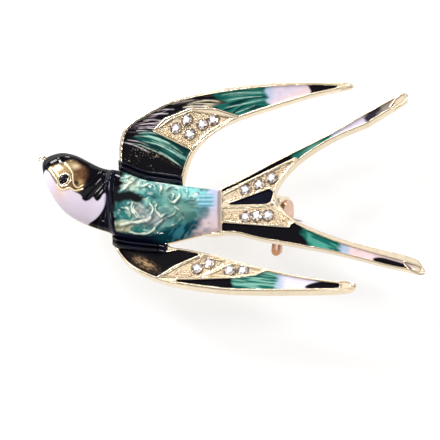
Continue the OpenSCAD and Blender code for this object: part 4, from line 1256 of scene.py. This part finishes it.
# A dark ring under each stone's girdle: painted shade round the stone
def seat_piece(limb):
    ring = circle(24) * (STONE_D / 2 + SEAT_OUT)
    parts = [tube(raised(q[:2] + ring, PLATE_T - SEAT_LOW), SEAT_R, True) for q in stone_places(limb)]
    points, faces = join_parts(parts)
    trim_piece(limb + "_seats", place_limb(points, limb), faces, SEAT_SHADE)


for limb in ("upper", "lower", "tail"):
    seat_piece(limb)


def grain_piece(limb, seed):
    """Grains over the stone fields, and four prong beads round each stone."""
    rng = np.random.default_rng(seed + 5)
    parts = []

    def add(p, radii):
        parts.append(ball(place_limb(np.array([p]), limb)[0], radii, False))

    for p in field_points(limb, GRAIN_PITCH, FIELD_RINGS[limb], seed):
        r = rng.uniform(*GRAIN_R)
        add([p[0], p[1], PLATE_T - GRAIN_LOW + rng.uniform(0.0, GRAIN_RISE)], (r, r, r))
    out = STONE_D / 2 + PRONG_OUT
    for q in stone_places(limb):
        turn = rng.uniform(0, math.pi)
        for k in range(PRONGS):
            a = turn + k * 2 * math.pi / PRONGS
            add([q[0] + out * math.cos(a), q[1] + out * math.sin(a), PLATE_T + PRONG_UP],
                (PRONG_R, PRONG_R, PRONG_H))
    trim_piece(limb + "_grains", *join_parts(parts), GRAIN)


for seed, limb in enumerate(("upper", "lower", "tail")):
    grain_piece(limb, 100 + seed)


# Stones: a round brilliant with a foiled back; its facets carry painted reflections, light, half lit or
# shaded, and its table is painted light
def stone_material():
    mat, nodes, links, shader = material("stone_crystal")
    # Base colour from the painted reflections of the facets
    mottled(nodes, links, shader, object_noise(nodes, links, 2500, 2), "facet_light", 0.6, 1.4)
    set_inputs(shader, {"Roughness": 0.03, "IOR": 1.65, "Metallic": 0.25, "Coat Weight": 1.0})
    return mat


CRYSTAL = stone_material()
LIT_FACET, HALF_LIT_FACET, SHADED_FACET = (0.95, 0.93, 0.94), (0.60, 0.56, 0.58), (0.17, 0.14, 0.16)


def brilliant():
    """Points and faces of a round brilliant of girdle radius 1; the table is the first face."""
    def ring(r, z, n, off):
        turns = [2 * math.pi * (k + off) / n for k in range(n)]
        return [(r * math.cos(a), r * math.sin(a), z) for a in turns]

    table, star = ring(0.54, 0.42, 8, 0), ring(0.77, 0.27, 8, 0.5)
    g1, g2 = ring(1.0, 0.06, 16, 0), ring(1.0, -0.02, 16, 0)
    pav = ring(0.32, -0.62, 8, 0.5)
    pts = table + star + g1 + g2 + pav + [(0, 0, -0.86)]
    T, S, G, H, P, C = 0, 8, 16, 32, 48, 56
    faces = [tuple(T + k for k in range(8))]
    for k in range(8):
        k1 = (k + 1) % 8
        faces.append((T + k, S + k, T + k1))
        faces.append((T + k1, S + k, G + (2 * k + 2) % 16, S + k1))
        faces.append((S + k, G + 2 * k, G + 2 * k + 1))
        faces.append((S + k, G + 2 * k + 1, G + (2 * k + 2) % 16))
    for k in range(16):
        faces.append((G + k, H + k, H + (k + 1) % 16, G + (k + 1) % 16))
    for k in range(8):
        k1 = (k + 1) % 8
        faces.append((H + 2 * k, P + k, H + 2 * k + 1))
        faces.append((H + 2 * k + 1, P + k, H + (2 * k + 2) % 16))
        faces.append((P + k, P + k1, H + (2 * k + 2) % 16))
        faces.append((P + k, C, P + k1))
    return np.array(pts), faces


def stone_pieces():
    pts, faces = brilliant()
    for limb in STONES:
        for i, node in enumerate(STONES[limb]):
            q = limb_local(cad_points(node), limb)
            mid = (q.min(0) + q.max(0)) / 2
            a = 0.7 * i + 0.2
            spin = np.array([[math.cos(a), -math.sin(a), 0], [math.sin(a), math.cos(a), 0], [0, 0, 1]])
            r = STONE_D / 2 + STONE_GROWN
            local = (pts @ spin.T) * [r, r, r * STONE_FLAT]
            local += [mid[0], mid[1], q[:, 2].max() - STONE_SUNK * r * STONE_FLAT]
            ob = new_object(node + "_cut", place_limb(local, limb), faces, smooth=False)
            bm = bmesh.new()
            bm.from_mesh(ob.data)
            bmesh.ops.recalc_face_normals(bm, faces=bm.faces)
            bm.to_mesh(ob.data)
            bm.free()
            ob.data.materials.append(CRYSTAL)
            layer = ob.data.color_attributes.new("facet_light", "FLOAT_COLOR", "CORNER")
            for f in ob.data.polygons:
                # Painted reflections: the table light, each other facet light, half lit or shaded
                tone = LIT_FACET if f.index == 0 else (LIT_FACET, HALF_LIT_FACET,
                                                    SHADED_FACET)[(f.index * 7 + i + f.index // 4) % 3]
                for c in f.loop_indices:
                    layer.data[c].color = (*tone, 1)
            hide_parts(node)


stone_pieces()


# Carried-over nodes
def dress(node, mat):
    ob = NODES[node]
    ob.data.materials.clear()
    ob.data.materials.append(mat)


def eye_material():
    mat, nodes, links, shader = material("eye_black")
    two_tones(nodes, links, shader, object_noise(nodes, links, 1200, 2), (0.004, 0.004, 0.006),
              (0.012, 0.011, 0.016))
    set_inputs(shader, {"Roughness": 0.04, "Specular IOR Level": 0.1, "Coat Weight": 0.35})
    return mat


EYE_GROWN = [1.15, 1.15, 1.25]
BEZEL_R, BEZEL_WIRE, BEZEL_LIFT = 0.98, 0.19, 0.04


def eye_piece():
    local = cad_points("eye_cabochon")
    mid = (local.min(0) + local.max(0)) / 2
    pts, fcs = ball(mid, np.ptp(local, axis=0) / 2 * EYE_GROWN)
    ob = new_object("eye_polished", pts, fcs)
    ob.data.materials.append(eye_material())
    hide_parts("eye_cabochon")


eye_piece()


def bezel_piece():
    """Smooth ring round the eye, laid over the slope of the head."""
    ring = EYE + BEZEL_R * circle(72)
    height = torso_height(ring[:, 0], ring[:, 1]) + SKIN + BEZEL_LIFT
    points, faces = tube(np.column_stack([ring, height]), BEZEL_WIRE, True, 12)
    trim_piece("eye_bezel", points, faces)


bezel_piece()
dress("hinge_rivet", GOLD)
dress("pin_stem", STEEL)
dress("catch_rotor", ROSE)


# Stage, light and camera
FLOOR_HALF, PAPER_GLOW = 1.5, 0.73


def stage():
    mesh = bpy.data.meshes.new("floor")
    s = FLOOR_HALF
    mesh.from_pydata([(-s, -s, 0), (s, -s, 0), (s, s, 0), (-s, s, 0)], [], [(0, 1, 2, 3)])
    floor = link_object("floor", mesh)
    mat, nodes, links, shader = material("floor_paper")
    two_tones(nodes, links, shader, object_noise(nodes, links, 30, 2), (0.27, 0.27, 0.27), (0.29, 0.29, 0.29))
    set_inputs(shader, {"Roughness": 0.9, "Emission Color": (1.0, 0.99, 0.98, 1),
                        "Emission Strength": PAPER_GLOW})
    floor.data.materials.append(mat)


# Lamps: direction, size in metres and power. The strips are low; cap, collar and flank mirror them.
LAMP_AWAY = 0.6
LAMPS = {"overhead": ((-0.26, 0.34, 0.9), (0.6, 0.5), 0.8),
         "key": ((-0.75, 0.9, 0.78), (0.2, 0.13), 2.6),
         "left": ((-1.0, -0.2, 0.7), (0.12, 0.16), 0.8),
         "right": ((0.9, 0.1, 0.9), (0.14, 0.14), 1.2),
         "cap_strip": ((-0.1, 0.985, 0.16), (0.06, 0.05), 0.5),
         "collar_strip": ((-0.36, 0.86, 0.36), (0.05, 0.09), 0.7),
         "flank_strip": ((-0.17, -0.74, 0.65), (0.05, 0.05), 0.5)}


def lights():
    for name, (direction, size, power) in LAMPS.items():
        light = bpy.data.lights.new(name, "AREA")
        light.shape = "RECTANGLE"
        light.size, light.size_y = size
        light.energy = power
        ob = link_object(name, light)
        d = Vector(direction).normalized()
        ob.location = d * LAMP_AWAY
        ob.rotation_euler = d.to_track_quat("Z", "Y").to_euler()
    world = bpy.data.worlds.new("studio")
    world.use_nodes = True
    set_inputs(world.node_tree.nodes["Background"], {"Color": (0.95, 0.96, 1.0, 1), "Strength": 0.2})
    bpy.context.scene.world = world


CAMERA_AWAY, SENSOR = 0.6, 36


def camera():
    off = (IMAGE / 2 - PX_0) / PX_MM
    target = (np.array([0, 0, TOP_Z]) - MIDDLE + VIEW_R * off[0] - VIEW_UP * off[1]) * MM
    cam = bpy.data.cameras.new("camera")
    cam.sensor_width = SENSOR
    cam.lens = SENSOR * CAMERA_AWAY / (IMAGE / PX_MM * MM)
    cam.clip_start, cam.clip_end = 0.01, 10
    ob = link_object("camera", cam)
    rot = Matrix([VIEW_R.tolist(), VIEW_UP.tolist(), VIEW_D.tolist()]).transposed()
    ob.matrix_world = Matrix.Translation(Vector(target + VIEW_D * CAMERA_AWAY)) @ rot.to_4x4()
    bpy.context.scene.camera = ob


stage()
lights()
camera()
bpy.context.scene.view_settings.view_transform = "Standard"

bpy.context.view_layer.update()
